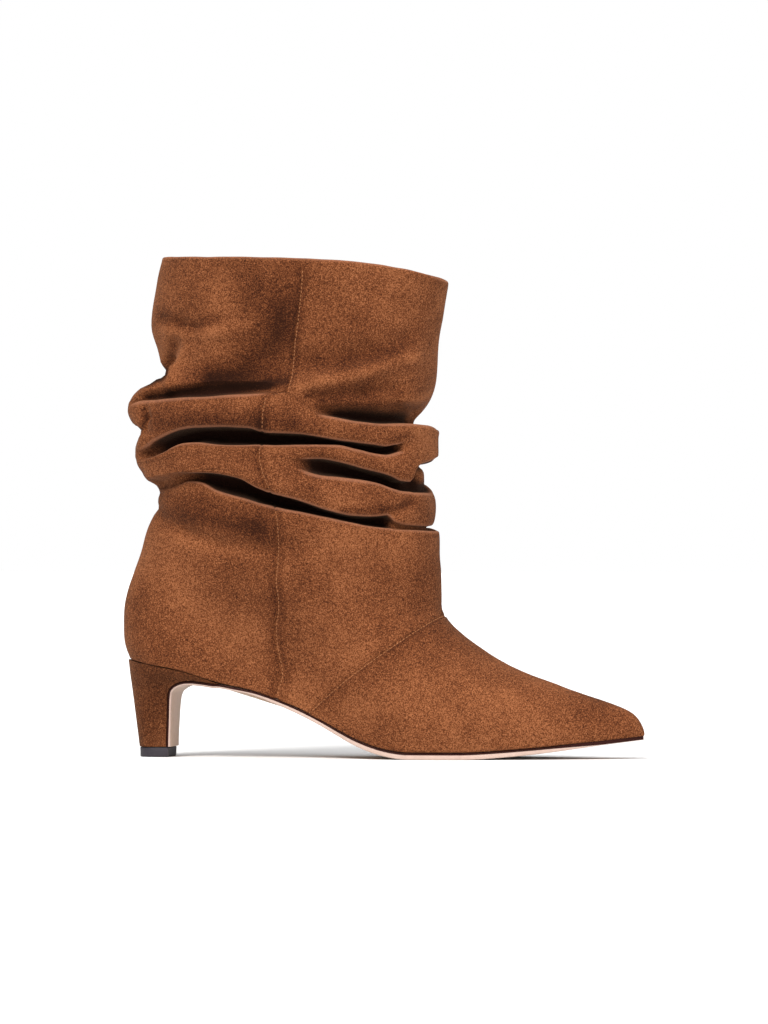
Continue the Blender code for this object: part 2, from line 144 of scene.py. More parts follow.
def markVerts(bm, name, values):
    layer = bm.verts.layers.float.new(name)
    for vert, value in zip(bm.verts, values):
        vert[layer] = float(value)


def mergeClose(bm):
    bmesh.ops.remove_doubles(bm, verts=bm.verts, dist=0.0005)


def faceOut(bm):
    mergeClose(bm)
    bmesh.ops.recalc_face_normals(bm, faces=bm.faces)
    if bm.calc_volume(signed=True) < 0:
        bmesh.ops.reverse_faces(bm, faces=bm.faces)


def finishPiece(bm, name, materials, node):  # a piece in metres, riding on the boot
    faceOut(bm)
    bmesh.ops.scale(bm, vec=(0.001, 0.001, 0.001), verts=bm.verts)
    mesh = bpy.data.meshes.new(name)
    bm.to_mesh(mesh)
    bm.free()
    for finish in materials:
        mesh.materials.append(finish)
    mesh.shade_smooth()
    piece = bpy.data.objects.new(name, mesh)
    scene.collection.objects.link(piece)
    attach(piece, body)
    if node:
        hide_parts(node)
    return piece


def solidPiece(bm, name, materials, node, crisp=38):  # the same with closed ends and crisp edges
    mergeClose(bm)
    bmesh.ops.holes_fill(bm, edges=[edge for edge in bm.edges if edge.is_boundary], sides=0)
    piece = finishPiece(bm, name, materials, node)
    piece.data.set_sharp_from_angle(angle=math.radians(crisp))


# The last: shares of its sizes at stations from the back of the seat to the toe tip

last = {
    "length": 263.4, "back": -15.0, "ball": 80.0, "heelRise": 42.4, "toeSpring": 7.8, "instep": 67.7,
    "counterSwell": 3.5, "tuck": 0.055, "widest": 0.26, "slope": 0.30, "seatRound": 0.100, "toeRound": 0.038,
    "sole": 3.4, "gap": 0.3, "flat": (0.550, 0.668),
}
stations = {
    "along": (0, .054, .128, .202, .259, .297, .345, .4, .445, .508, .559, .613, .667, .727, .788, .874,
              .931, .966, 1),
    "heel": (1.083, 1.02, .93, .786, .712, .634, .512, .343, .196, .051, 0, 0, 0, 0, 0, 0, 0, 0, 0),
    "spring": (0, 0, 0, 0, 0, 0, 0, 0, 0, 0, 0, 0, 0, .1, .26, .54, .74, .87, 1),
    "outer": (.325, .335, .348, .336, .327, .322, .328, .358, .395, .452, .488, .494, .47, .416, .346, .24,
              .168, .122, .08),
    "inner": (.325, .335, .342, .312, .281, .26, .25, .268, .305, .372, .43, .476, .492, .46, .392, .272,
              .184, .13, .082),
    "ridge": (1.62, 1.62, 1.62, 1.61, 1.6, 1.59, 1.57, 1.53, 1.46, 1.3, 1.15, .98, .805, .644, .525, .369,
              .28, .222, .155),
    "sole": (.6, .6, .55, .42, .62, .76, .84, .88, .95, 1, 1, 1, 1, .98, .92, .76, .66, .62, .6),
}
lastCurves = {name: naturalCurve(stations["along"], row) for name, row in stations.items() if name != "along"}
toeX = last["back"] + last["length"]


def alongLast(x):
    return (x - last["back"]) / last["length"]


def baseHeight(x):  # underside of the upper
    a = alongLast(x)
    lift = last["heelRise"] * lastCurves["heel"](a) + last["toeSpring"] * lastCurves["spring"](a)
    flat = (a > last["flat"][0]) & (a < last["flat"][1])
    return last["sole"] + last["gap"] + np.where(flat, 0, np.maximum(lift, 0))


def endShape(share):
    return endRound(share, last["seatRound"]) * endRound(1 - share, last["toeRound"])


def lastWidth(x, side):
    a = alongLast(x)
    return last["ball"] * np.where(side < 0, lastCurves["outer"](a), lastCurves["inner"](a))


def featherWidth(x, share, side, inset):
    return (lastWidth(x, side) * (1 - last["tuck"]) - inset) * endShape(share)


def ridgeHeight(x):
    a = alongLast(x)
    return last["instep"] * lastCurves["ridge"](a) * endRound(1 - a, last["toeRound"])


def sectionWidth(rise):
    low = 1 - last["tuck"] * np.clip((last["widest"] - rise) / last["widest"], 0, 1)**2
    up = np.clip((rise - last["widest"]) / (1 - last["widest"]), 0, 1)
    return np.where(rise < last["widest"], low, np.sqrt(1 - up**2) * (1 - last["slope"] * up * (1 - up)))


# Camera, light and floor

view = {
    "target": (0.1155, 0.0, 0.124), "azimuth": 10.0, "distance": 4.0, "pixelsPerMm": 1.981,
    "frameHeight": 1024, "sensor": 36.0,
}
lights = {  # where it shines from, how wide it is in degrees, strength, colour
    "keyLeft": ((-0.18, -0.80, 0.74), 24, 4.3, (1.0, 0.985, 0.96)),
    "topSoft": ((0.10, -0.10, 1.0), 70, 2.2, (1.0, 1.0, 1.0)),
    "fillRight": ((0.95, -0.30, 0.16), 50, 1.7, (1.0, 1.0, 1.0)),
}
room = {"ambient": 0.22, "floor": 0.80, "floorRough": 0.9, "floorHalf": 12}


def aimAt(obj, place, target):
    obj.location = place
    obj.rotation_euler = (Vector(target) - Vector(place)).to_track_quat("-Z", "Y").to_euler()


cameraData = bpy.data.cameras.new("camera")
cameraData.sensor_width = view["sensor"]
cameraData.lens = view["pixelsPerMm"] * 1000 * view["distance"] * view["sensor"] / view["frameHeight"]
cameraData.clip_end = 50
camera = bpy.data.objects.new("camera", cameraData)
scene.collection.objects.link(camera)
viewTurn = math.radians(view["azimuth"])
away = Vector((math.sin(viewTurn), -math.cos(viewTurn), 0)) * view["distance"]
aimAt(camera, Vector(view["target"]) + away, view["target"])
scene.camera = camera

for lightName, (place, wide, strength, colour) in lights.items():
    lamp = bpy.data.lights.new(lightName, "SUN")
    lamp.angle, lamp.energy, lamp.color = math.radians(wide), strength, colour
    lampObject = bpy.data.objects.new(lightName, lamp)
    scene.collection.objects.link(lampObject)
    aimAt(lampObject, Vector(view["target"]) + Vector(place), view["target"])

scene.view_settings.view_transform = "Standard"
studio = bpy.data.worlds.new("studio")
studio.use_nodes = True
studioNodes, studioLinks = studio.node_tree.nodes, studio.node_tree.links
ambient = studioNodes["Background"]
ambient.inputs["Color"].default_value = (1, 1, 1, 1)
ambient.inputs["Strength"].default_value = room["ambient"]
backdrop = studioNodes.new("ShaderNodeBackground")  # the white wall that the camera sees
backdrop.inputs["Color"].default_value = (1, 1, 1, 1)
rays, bothWorlds = studioNodes.new("ShaderNodeLightPath"), studioNodes.new("ShaderNodeMixShader")
studioLinks.new(rays.outputs["Is Camera Ray"], bothWorlds.inputs["Fac"])
studioLinks.new(ambient.outputs["Background"], bothWorlds.inputs[1])
studioLinks.new(backdrop.outputs["Background"], bothWorlds.inputs[2])
studioLinks.new(bothWorlds.outputs["Shader"], studioNodes["World Output"].inputs["Surface"])
scene.world = studio

floorBm = bmesh.new()
bmesh.ops.create_grid(floorBm, x_segments=2, y_segments=2, size=room["floorHalf"])
floorMesh = bpy.data.meshes.new("floor")
floorBm.to_mesh(floorMesh)
floorBm.free()
floorPaint = bpy.data.materials.new("palePaper")
floorPaint.use_nodes = True
paper = floorPaint.node_tree.nodes["Principled BSDF"]
paper.inputs["Base Color"].default_value = (room["floor"],) * 3 + (1,)
paper.inputs["Roughness"].default_value = room["floorRough"]
floorMesh.materials.append(floorPaint)
floor = bpy.data.objects.new("floor", floorMesh)
scene.collection.objects.link(floor)
print("camera, light and floor set")


# Materials

class Paint:  # a small helper that adds nodes to one material
    def __init__(self, name, roughness):
        self.material = bpy.data.materials.new(name)
        self.material.use_nodes = True
        self.nodes, self.links = self.material.node_tree.nodes, self.material.node_tree.links
        self.shader = self.nodes["Principled BSDF"]
        self.shader.inputs["Roughness"].default_value = roughness
        self.coords = self.nodes.new("ShaderNodeTexCoord").outputs["Object"]

    def set(self, **values):
        for name, value in values.items():
            self.shader.inputs[name].default_value = value

    def noise(self, scale, detail, rough):
        node = self.nodes.new("ShaderNodeTexNoise")
        node.inputs["Scale"].default_value = scale
        node.inputs["Detail"].default_value = detail
        node.inputs["Roughness"].default_value = rough
        self.links.new(self.coords, node.inputs["Vector"])
        return node.outputs["Fac"]

    def attribute(self, name):
        node = self.nodes.new("ShaderNodeAttribute")
        node.attribute_name = name
        return node.outputs["Fac"]

    def math(self, operation, a, b):
        node = self.nodes.new("ShaderNodeMath")
        node.operation = operation
        for i, value in enumerate((a, b)):
            if isinstance(value, (int, float)):
                node.inputs[i].default_value = value
            else:
                self.links.new(value, node.inputs[i])
        return node.outputs[0]

    def total(self, parts):  # adds up noises, each round its middle and by its weight
        value = 0.5
        for part, weight in parts:
            value = self.math("ADD", value, self.math("MULTIPLY", self.math("SUBTRACT", part, 0.5), weight))
        return value

    def ramp(self, value, stops):
        node = self.nodes.new("ShaderNodeValToRGB")
        while len(node.color_ramp.elements) < len(stops):
            node.color_ramp.elements.new(0.5)
        for element, (place, colour) in zip(node.color_ramp.elements, stops):
            element.position, element.color = place, (*colour, 1)
        self.links.new(value, node.inputs["Fac"])
        return node.outputs["Color"]

    def mix(self, share, a, b):
        node = self.nodes.new("ShaderNodeMix")
        node.data_type = "RGBA"
        self.links.new(share, node.inputs["Factor"])
        for socket, value in ((node.inputs[6], a), (node.inputs[7], b)):
            if isinstance(value, tuple):
                socket.default_value = (*value, 1)
            else:
                self.links.new(value, socket)
        return node.outputs[2]

    def colour(self, value):
        self.links.new(value, self.shader.inputs["Base Color"])

    def bump(self, height, distance, strength):
        node = self.nodes.new("ShaderNodeBump")
        node.inputs["Distance"].default_value = distance
        node.inputs["Strength"].default_value = strength
        self.links.new(height, node.inputs["Height"])
        self.links.new(node.outputs["Normal"], self.shader.inputs["Normal"])


suede = {  # tan nap: its colours from dark to light and where each lies, and its gloss
    "shades": (
        (0.10, (0.026, 0.0068, 0.0026)), (0.5, (0.114, 0.0345, 0.0118)), (0.95, (0.276, 0.102, 0.041)),
    ),
    # the valley colour is painted shade deep inside the folds, edgeLight a painted highlight along their lips
    "edgeLight": (0.30, 0.13, 0.074), "valleyShade": (0.0075, 0.0024, 0.0014), "napAndShadeShift": 0.30, "heelTone": 0.66,
    "roughness": 0.93, "sheen": 0.06, "sheenRough": 0.5, "sheenTint": (0.9, 0.55, 0.35, 1), "gloss": 0.06,
    "grain": (1700, 2, 0.65), "clump": (640, 2, 0.6), "patch": (60, 3, 0.55), "cloud": (17, 2, 0.5),
    "inColour": {"grain": 2.0, "clump": 0.5, "patch": 0.4, "cloud": 0.55},
    "inRelief": {"grain": 0.9, "clump": 0.8, "patch": 0.3}, "bump": (0.00042, 0.8),
}
leather = {
    "fine": (4, 0.6), "broad": (38, 3, 0.5), "inColour": (0.6, 0.7), "inRelief": (1.0, 0.3),
    "bump": (0.00015, 0.5), "darkAt": 0.2, "lightAt": 0.8,
    "finishes": {  # dark, light, roughness, scale of the grain, gloss
        "liningLeather": ((0.30, 0.17, 0.095), (0.42, 0.26, 0.16), 0.55, 420, 0.3),
        "soleLeather": ((0.40, 0.285, 0.235), (0.54, 0.40, 0.34), 0.5, 420, 0.3),
        "dyedEdge": ((0.016, 0.005, 0.004), (0.030, 0.009, 0.007), 0.85, 420, 0.05),
        "treadLeather": ((0.38, 0.26, 0.19), (0.52, 0.37, 0.28), 0.5, 420, 0.3),
        "sockLeather": ((0.34, 0.20, 0.115), (0.45, 0.28, 0.17), 0.5, 420, 0.3),
        "tipRubber": ((0.018, 0.014, 0.019), (0.030, 0.025, 0.032), 0.6, 900, 0.3),
        "threadPaint": ((0.24, 0.098, 0.040), (0.36, 0.16, 0.070), 0.85, 1500, 0.05),
    },
}


def suedePaint(name, tone=1.0, marks=True):
    paint = Paint(name, suede["roughness"])
    noises = {part: paint.noise(*suede[part]) for part in suede["inColour"]}
    value = paint.total([(noises[part], weight) for part, weight in suede["inColour"].items()])
    if marks:
        # the nap marks shift the colour: partly the nap's own tone, partly painted shade in creases and
        # painted highlight on ridges
        value = paint.math("ADD", value, paint.math("MULTIPLY", paint.attribute("napAndShade"), suede["napAndShadeShift"]))
    colour = paint.ramp(value, [(place, tuple(c * tone for c in shade)) for place, shade in suede["shades"]])
    if marks:
        # painted highlight along the lips, then painted shade in the folds' valleys
        colour = paint.mix(paint.attribute("lip"), colour, suede["edgeLight"])
        colour = paint.mix(paint.attribute("valleyShade"), colour, suede["valleyShade"])
    paint.colour(colour)
    paint.set(**{"Sheen Weight": suede["sheen"], "Sheen Roughness": suede["sheenRough"]})
    paint.set(**{"Sheen Tint": suede["sheenTint"], "Specular IOR Level": suede["gloss"]})
    relief = paint.total([(noises[part], weight) for part, weight in suede["inRelief"].items()])
    paint.bump(relief, *suede["bump"])
    return paint.material


def leatherPaint(name):
    dark, light, roughness, grain, gloss = leather["finishes"][name]
    paint = Paint(name, roughness)
    noises = paint.noise(grain, *leather["fine"]), paint.noise(*leather["broad"])
    value = paint.total(zip(noises, leather["inColour"]))
    paint.colour(paint.ramp(value, [(leather["darkAt"], dark), (leather["lightAt"], light)]))
    paint.bump(paint.total(zip(noises, leather["inRelief"])), *leather["bump"])
    paint.set(**{"Specular IOR Level": gloss})
    return paint.material


suedeUpper = suedePaint("suedeUpper")
suedeHeel = suedePaint("suedeHeel", suede["heelTone"], False)
leathers = {name: leatherPaint(name) for name in leather["finishes"]}
print("materials made")


# The upper: foot, ankle, three rolls and collar in one skin of suede

shaft = {
    "height": 253.0, "depth": 140.6, "width": 84.0, "back": -0.6, "breakReach": 4.6, "ankleSlim": 0.24,
    "noseHold": 4, "lowShare": 0.08, "blendShare": 0.23, "columns": 232, "wall": 1.5, "hem": 9.0,
    "lipReach": 1.9, "sag": 2.2, "ankleSag": 1.0, "openAt": 4.0, "darkAt": 9.0, "shutSpan": 7.0,
    "shareStep": 12, "underTuck": 2.2, "footSpan": (25, 95), "smooth": 3, "seamArc": 205, "hemWall": 2.6,
    "edgeFade": 9, "liningFade": 15, "liningReach": 5, "onShaft": (8, 20), "topOut": 0.4, "firstRise": 0.006,
    "lipRound": (0.8, 0.4),
    "footRises": (0, .012, .03, .055, .09, .13, .18, .24, .31, .39, .47, .55, .63, .7, .77, .84, .9, .95,
                  1),
}
counter = {
    "up": (0, 0.06, 0.13, 0.22, 0.34, 0.46, 0.58, 0.72, 0.86, 1),
    "back": (0, 0.62, 0.95, 1, 0.82, 0.25, 0, 0, 0, 0),
    "ahead": (0, 0, 0, 0, 0, 0.03, 0.24, 0.50, 0.68, 1.00),
}

# Folds by turn round the shaft: 0 is the back, 1 the front and 1 to 2 the inner side. Low and high are the
# heights of a fold's lips and depth how far it goes in; the ledge is a step inside the front of one fold.
folds = {
    "ankle": {
        "turn": (0, .09, .187, .256, .296, .343, .406, .454, .504, .549, .607, .663, .718, .761, .785,
                 .831, .942, 1.03, 1.12, 1.22, 1.34, 1.5, 1.66, 1.8, 1.92),
        "low": (135.4, 135.6, 136.6, 139.9, 139.1, 135, 131.6, 128.5, 125.7, 124, 121.4, 119, 117.2, 116.3,
                115.9, 115.5, 114.9, 115, 115.8, 117.6, 120.5, 126, 131.5, 135.5, 135.5),
        "high": (139.6, 140.2, 141.4, 143.6, 143.7, 143.2, 140.7, 135.7, 132.3, 129.6, 125.1, 122.2, 121.4,
                 121.6, 118.5, 116.9, 116.4, 116.6, 117.8, 121.2, 126, 132.5, 138.5, 141, 139.5),
        "depth": (2.4, 2.4, 2, 3.2, 5.4, 8.5, 12.5, 14, 14, 14, 13, 13, 12, 8, 3, 3, 3.4, 3.4, 4, 9, 12,
                  12, 10, 5, 1),
    },
    "middle": {
        "turn": (0, .13, .22, .36, .495, .542, .563, .594, .633, .684, .729, .779, .81, .846, .861, .888,
                 .95, 1, 1.05, 1.1, 1.2, 1.35, 1.5, 1.65, 1.8, 1.92),
        "low": (144.4, 144.4, 146.2, 148.8, 147.2, 146.7, 144.2, 142.4, 141.4, 140.2, 139.1, 136.1, 134.8,
                134.3, 133.9, 133.9, 133.8, 133.8, 134.2, 136, 140, 145, 149, 152, 151, 148.5),
        "high": (146, 146, 147.8, 150.5, 149.2, 149.3, 150.3, 150.5, 149.2, 146.5, 144, 141.3, 139.3,
                 138.9, 142.9, 147.4, 149.6, 150.6, 150.6, 149, 147.5, 150.5, 154, 156, 154.5, 151),
        "depth": (0, 0, 0, 0, 0, 1.5, 4, 9, 12, 13, 13, 12, 11, 8, 8, 9, 9, 9, 9, 10, 12, 12, 11, 8, 4, .5),
    },
    "upper": {
        "turn": (0, .07, .1, .14, .17, .195, .225, .26, .3, .353, .432, .471, .55, .631, .684, .728, .759,
                 .794, .82, .9, 1, 1.06, 1.12, 1.2, 1.35, 1.5, 1.65, 1.8, 1.92),
        "low": (151.4, 151, 151.3, 151.7, 153, 154.3, 156.6, 158.5, 159.1, 157.9, 157.5, 157.4, 158, 157.5,
                155.2, 153.3, 152.7, 154, 155.7, 156, 156.2, 157, 158, 160, 163.5, 166.5, 167.5, 165,
                159.5),
        "high": (154.2, 153.6, 154.2, 156.8, 159.7, 161.4, 163.4, 165.3, 166.4, 166.6, 166, 164, 162.7,
                 160, 158.6, 157.6, 156.8, 157.8, 158, 158.4, 158.6, 160.2, 162, 165, 169, 172, 172, 168.5,
                 162.5),
        "depth": (0, 1, 2.2, 3.8, 5.6, 7.4, 9.6, 11.6, 13, 13, 14, 14, 13, 12, 12, 12, 10, 6, .5, 0, 0, 2,
                  7, 11, 12, 11, 9, 6, 1.5),
    },
    "collar": {
        "turn": (0, .036, .08, .114, .196, .282, .366, .438, .482, .52, .546, .572, .598, .633, .689, .761,
                 .843, .93, 1, 1.07, 1.16, 1.3, 1.5, 1.7, 1.85),
        "low": (178, 177.4, 178.6, 179.9, 180.9, 182, 182.8, 183.5, 183.9, 182.7, 179.8, 175.4, 172.9,
                171.4, 169.5, 168.4, 168.2, 167.8, 167, 166.6, 166.8, 171, 181, 185.5, 184.5),
        "high": (181, 181.6, 183.2, 184.9, 187.2, 188.8, 189.4, 189, 188, 186, 182.6, 179, 177.6, 177.6,
                 177.4, 177.2, 176.8, 175.4, 174.4, 174.4, 176.5, 181.5, 187.5, 190, 187.6),
        "depth": (.2, .8, 2.4, 4.2, 4.8, 5, 4.8, 3.8, 2, .6, .1, .4, 3, 7, 10, 11, 10, 7, 4, 4, 6, 4, 5, 5,
                  3),
    },
}
ledge = {  # how far out it stands by turn, up to which height it carries the suede, and where no shade falls
    "fold": "middle", "carries": 0.9, "lit": (0.3, 0.75),
    "turn": (0, .86, .93, .98, 1.03, 1.07, 1.14, 1.9), "out": (0, 0, 4.2, 5.3, 5.3, 4.2, 0, 0),
}

# A roll between two folds: how full it is at shares of its height, how much of that height a lip takes, and
# how far its low and its high lip reach out towards its belly
rollShape = {"full": ((0.34, 0.90), (0.56, 1.0), (0.78, 0.76)), "lip": 0.22, "lowLip": 0.55, "highLip": 0.3}

# How far the shaft stands out of its oval: below the first fold and on each roll, by turn
bellies = {
    "turn": (0, .1, .2, .4, .6, .8, .9, 1, 1.1, 1.2, 1.4, 1.6, 1.8),
    "ankle": (-.6, -.3, 0, 1.2, 1.9, 2.8, 3.8, 4.4, 3.8, 2.4, 1.7, 1, 0),
    "lower": (7.4, 7.2, 6.2, 5.2, 5.4, 4.4, 3.2, 1.6, 2.6, 3.6, 5, 5.2, 6),
    "middle": (11.4, 10.6, 8.4, 6, 5, 4, 3.6, 3.2, 3.4, 3.6, 5, 6.6, 8.8),
    "upper": (14.8, 13.4, 10.6, 6.8, 5.4, 4.2, 3.9, 3.7, 4.1, 4.6, 5.5, 7.9, 11.8),
}

# The collar from its foot to its edge, by turn: how far it stands out at each share of its height
collar = {
    "turn": (0, .1, .2, .3, .4, .6, .8, 1, 1.2, 1.4, 1.6, 1.8, 1.9),
    0.00: (12.0, 11.0, 6.4, 2.6, -0.6, 3.0, 1.0, -8.0, 1.0, 3.0, 0.0, 4.0, 9.5),
    0.05: (6.8, 7.4, 5.2, 1.6, -1.4, 4.3, 2.8, -4.7, 2.7, 3.8, -0.8, 2.6, 7.0),
    0.10: (0.6, 0.2, 1.2, 0.4, -1.9, 4.4, 3.7, -1.9, 3.2, 3.4, -1.5, -0.4, 0.6),
    0.16: (-2.5, -3.6, -1.6, -1.0, -2.0, 3.8, 4.0, 0.3, 3.4, 2.5, -1.9, -2.0, -3.4),
    0.24: (-1.2, -2.4, -1.6, -1.6, -1.6, 2.9, 4.0, 1.4, 3.4, 1.6, -1.8, -1.6, -2.4),
    0.35: (0.0, -0.8, -0.8, -0.4, -0.2, 2.4, 3.8, 2.4, 3.2, 1.4, -0.4, 0.6, 0.2),
    0.46: (3.6, 2.6, 1.4, 1.2, 1.0, 2.2, 3.8, 2.8, 3.2, 1.8, 0.8, 2.2, 3.0),
    0.60: (3.5, 3.0, 2.4, 2.0, 1.6, 2.4, 4.2, 3.6, 3.8, 2.2, 1.4, 2.4, 3.0),
    0.76: (0.7, 1.0, 1.4, 1.6, 1.8, 2.8, 5.2, 5.9, 4.8, 2.6, 1.8, 1.2, 0.9),
    0.90: (-0.7, 0.0, 0.6, 1.4, 2.0, 3.2, 5.8, 7.5, 5.6, 3.0, 1.9, 0.2, -0.3),
    1.00: (-2.6, -1.6, -0.3, 1.0, 2.1, 3.4, 6.2, 8.3, 6.0, 3.4, 1.9, -0.8, -1.8),
}
collarTop = (1.000, 0.9995, 0.998, 0.9965, 0.995, 0.989, 0.973, 0.950, 0.969, 0.985, 0.993, 0.998, 0.9995)

# The rows over the collar's edge: how far in and up from it, and how much each shows of a painted lip
# highlight
collarRim = ((0.0, -2.0, 0), (0.1, -0.4, 0.6), (1.3, 0.25, 0.6), (2.5, -0.4, 0.4), (2.7, -2.2, 0))

# The rows of a fold from its low lip to its high lip: how high each lies where the fold is shut, open and
# over the ledge, how far in it goes, which lip it belongs to, and how much it shows of painted lip highlight
# and of painted valley shade
foldRows = (
    (0.00, 0.00, 0.00, 0.0, -3, 1.0, 0.0),
    (0.10, -0.02, 0.00, 0.3, -2, 0.5, 0.4),
    (0.22, 0.03, 0.02, 0.6, -1, 0.0, 1.0),
    (0.36, 0.17, 0.12, 1.0, 0, 0.0, 1.0),
    (0.50, 0.50, 0.42, 1.0, 0, 0.0, 1.0),
    (0.64, 0.83, 0.70, 1.0, 0, 0.0, 1.0),
    (0.78, 0.97, 0.78, 0.6, 1, 0.0, 1.0),
    (0.90, 1.02, 0.95, 0.3, 2, 0.2, 0.9),
    (1.00, 1.00, 1.00, 0.0, 3, 1.0, 0.0),
)

softRows = (  # the same under the collar, whose foot turns in softly
    *foldRows[:2],
    (0.22, 0.03, 0.02, 0.6, -1, 0.0, 0.9),
    (0.36, 0.12, 0.12, 1.0, 0, 0.0, 0.9),
    (0.50, 0.30, 0.42, 1.0, 0, 0.0, 0.8),
    (0.64, 0.50, 0.70, 0.85, 1, 0.0, 0.6),
    (0.78, 0.68, 0.78, 0.55, 1, 0.0, 0.36),
    (0.90, 0.85, 0.95, 0.25, 1, 0.0, 0.16),
    (1.00, 1.00, 1.00, 0.0, 3, 0.0, 0.0),
)

# The outline of the rolls at the back: how far out it lies at each height, faded out between two turns
backOutline = {
    "z": (131, 134.6, 137.1, 138.2, 140.2, 142.2, 144.2, 146.2, 148.3, 150.3, 152.3, 156.3, 158.4, 160.4,
          162.4, 164.5, 166.5, 168.5, 170.5, 172.5, 174.6, 178.6, 180.6, 182.7, 184.7, 186.7, 188.7, 190.8,
          192.8, 195.8, 198.9, 203),
    "out": (-.6, -.9, .2, 1.4, 5, 6.7, 7.8, 9.3, 10.4, 10.9, 11.4, 11.4, 10.9, 10.3, 9.3, 8.8, 9.9, 12.2,
            13.6, 14.5, 15, 14.5, 13.5, 12.4, 10.7, 8.4, 4, 1, -1, -2.5, -1.6, -.8),
    "fade": (0.055, 0.135), "ends": 3.0,
}

# Painted marks on the suede: over how far they fade round the shaft, how dark and light the nap and its
# painted shade get, from where and over how much a dark stroke, a painted lip highlight and a painted valley
# shade begin to show, and how strong each is
marking = {
    "wrap": 9, "fade": 14, "darkest": -1.8, "lightest": 1, "deepRamp": (0.75, 1.0), "deepShare": 0.75,
    "lipHighlightRamp": (0.3, 0.4), "valleyShadeRamp": (0.08, 0.6), "strength": {"lip": 0.45, "valleyShade": 0.97, "napAndShade": 1.0},
    "smoothFold": 1.6, "wobbles": ((26, 0.55, 3), (9, 0.22, 8)),  # size, height and seed of the unevenness
}

# Creases and ridges, listed one by one as seen from each side: start, end, width, height (below 0 for a
# crease)
dents = {
    "outer": (
        ((-8, 164.6), (-4, 164.8), 2.6, -1.6), ((-4.9, 176), (-4.6, 171.5), 1.6, -2.4),
        ((-4.6, 171.5), (-6.4, 166), 1.6, -2.4), ((3, 119.9), (15.2, 113.2), 3, -1.9),
        ((15.2, 113.2), (32.2, 107.3), 3.2, -1.8), ((32.2, 107.3), (55.8, 104.4), 3.4, -1.3),
        ((56, 104.8), (82, 107), 4, -0.8), ((7, 127), (24, 120.5), 4.6, 1.3),
        ((24, 120.5), (48, 114.5), 4.6, 1), ((-2, 126.4), (13, 124.6), 2.2, -1.2),
        ((3.1, 222.5), (12.5, 219.3), 2.8, -1.6), ((12.5, 219.3), (19.2, 217), 2.8, -1.8),
        ((19.2, 217), (33, 220.6), 3.2, -1.3), ((7.2, 214.5), (34.7, 214.4), 3.6, 1.5),
        ((34.7, 214.4), (50, 216.5), 4.4, 1), ((10, 208.5), (7, 199.4), 3, -2.4),
        ((7, 199.4), (3.8, 193), 2.4, -3.2), ((16, 205), (9.6, 196.3), 3.2, 1.6),
        ((9.6, 196.3), (6.8, 188), 2.2, 1.8), ((26, 203), (40, 204), 7, 1.6),
        ((46, 203), (66, 201), 9.5, -2.4), ((30, 191.5), (62, 193), 7.5, -2.4),
        ((67.5, 184.8), (84.1, 188.7), 4.4, 2.2), ((84.1, 188.7), (100.7, 192.3), 4.4, 2.6),
        ((100.7, 192.3), (111.9, 195.8), 4.4, 2.6), ((111.9, 195.8), (131.3, 202), 4.6, 2.2),
        ((75.6, 199.5), (106.3, 203.4), 6, -2.4), ((106.3, 203.4), (126, 211), 5, -1.8),
        ((80, 182), (106.3, 184), 3.6, -2), ((106.3, 184), (122, 185.5), 3.6, -1.6),
        ((125, 180.6), (138, 181.2), 1.8, 1.2), ((121, 176), (130, 175.5), 3, -1.8),
        ((118, 121.5), (128.5, 128), 2.6, -1.6),
    ),
    "inner": (
        ((6, 124), (34, 112), 3.4, -1.5), ((34, 112), (66, 106), 4, -1), ((10, 131), (36, 121), 4.8, 1),
        ((98, 104), (128, 98), 4.4, -0.9), ((12, 219), (46, 212), 4.2, -2.2),
        ((16, 227), (50, 221), 4.6, 1.4), ((62, 190), (100, 204), 4.6, 2.4),
        ((100, 204), (130, 208), 4.6, 1.6), ((70, 201), (104, 214), 5.4, -2.2),
        ((110, 124), (126, 131), 2.8, -1.3),
    ),
}

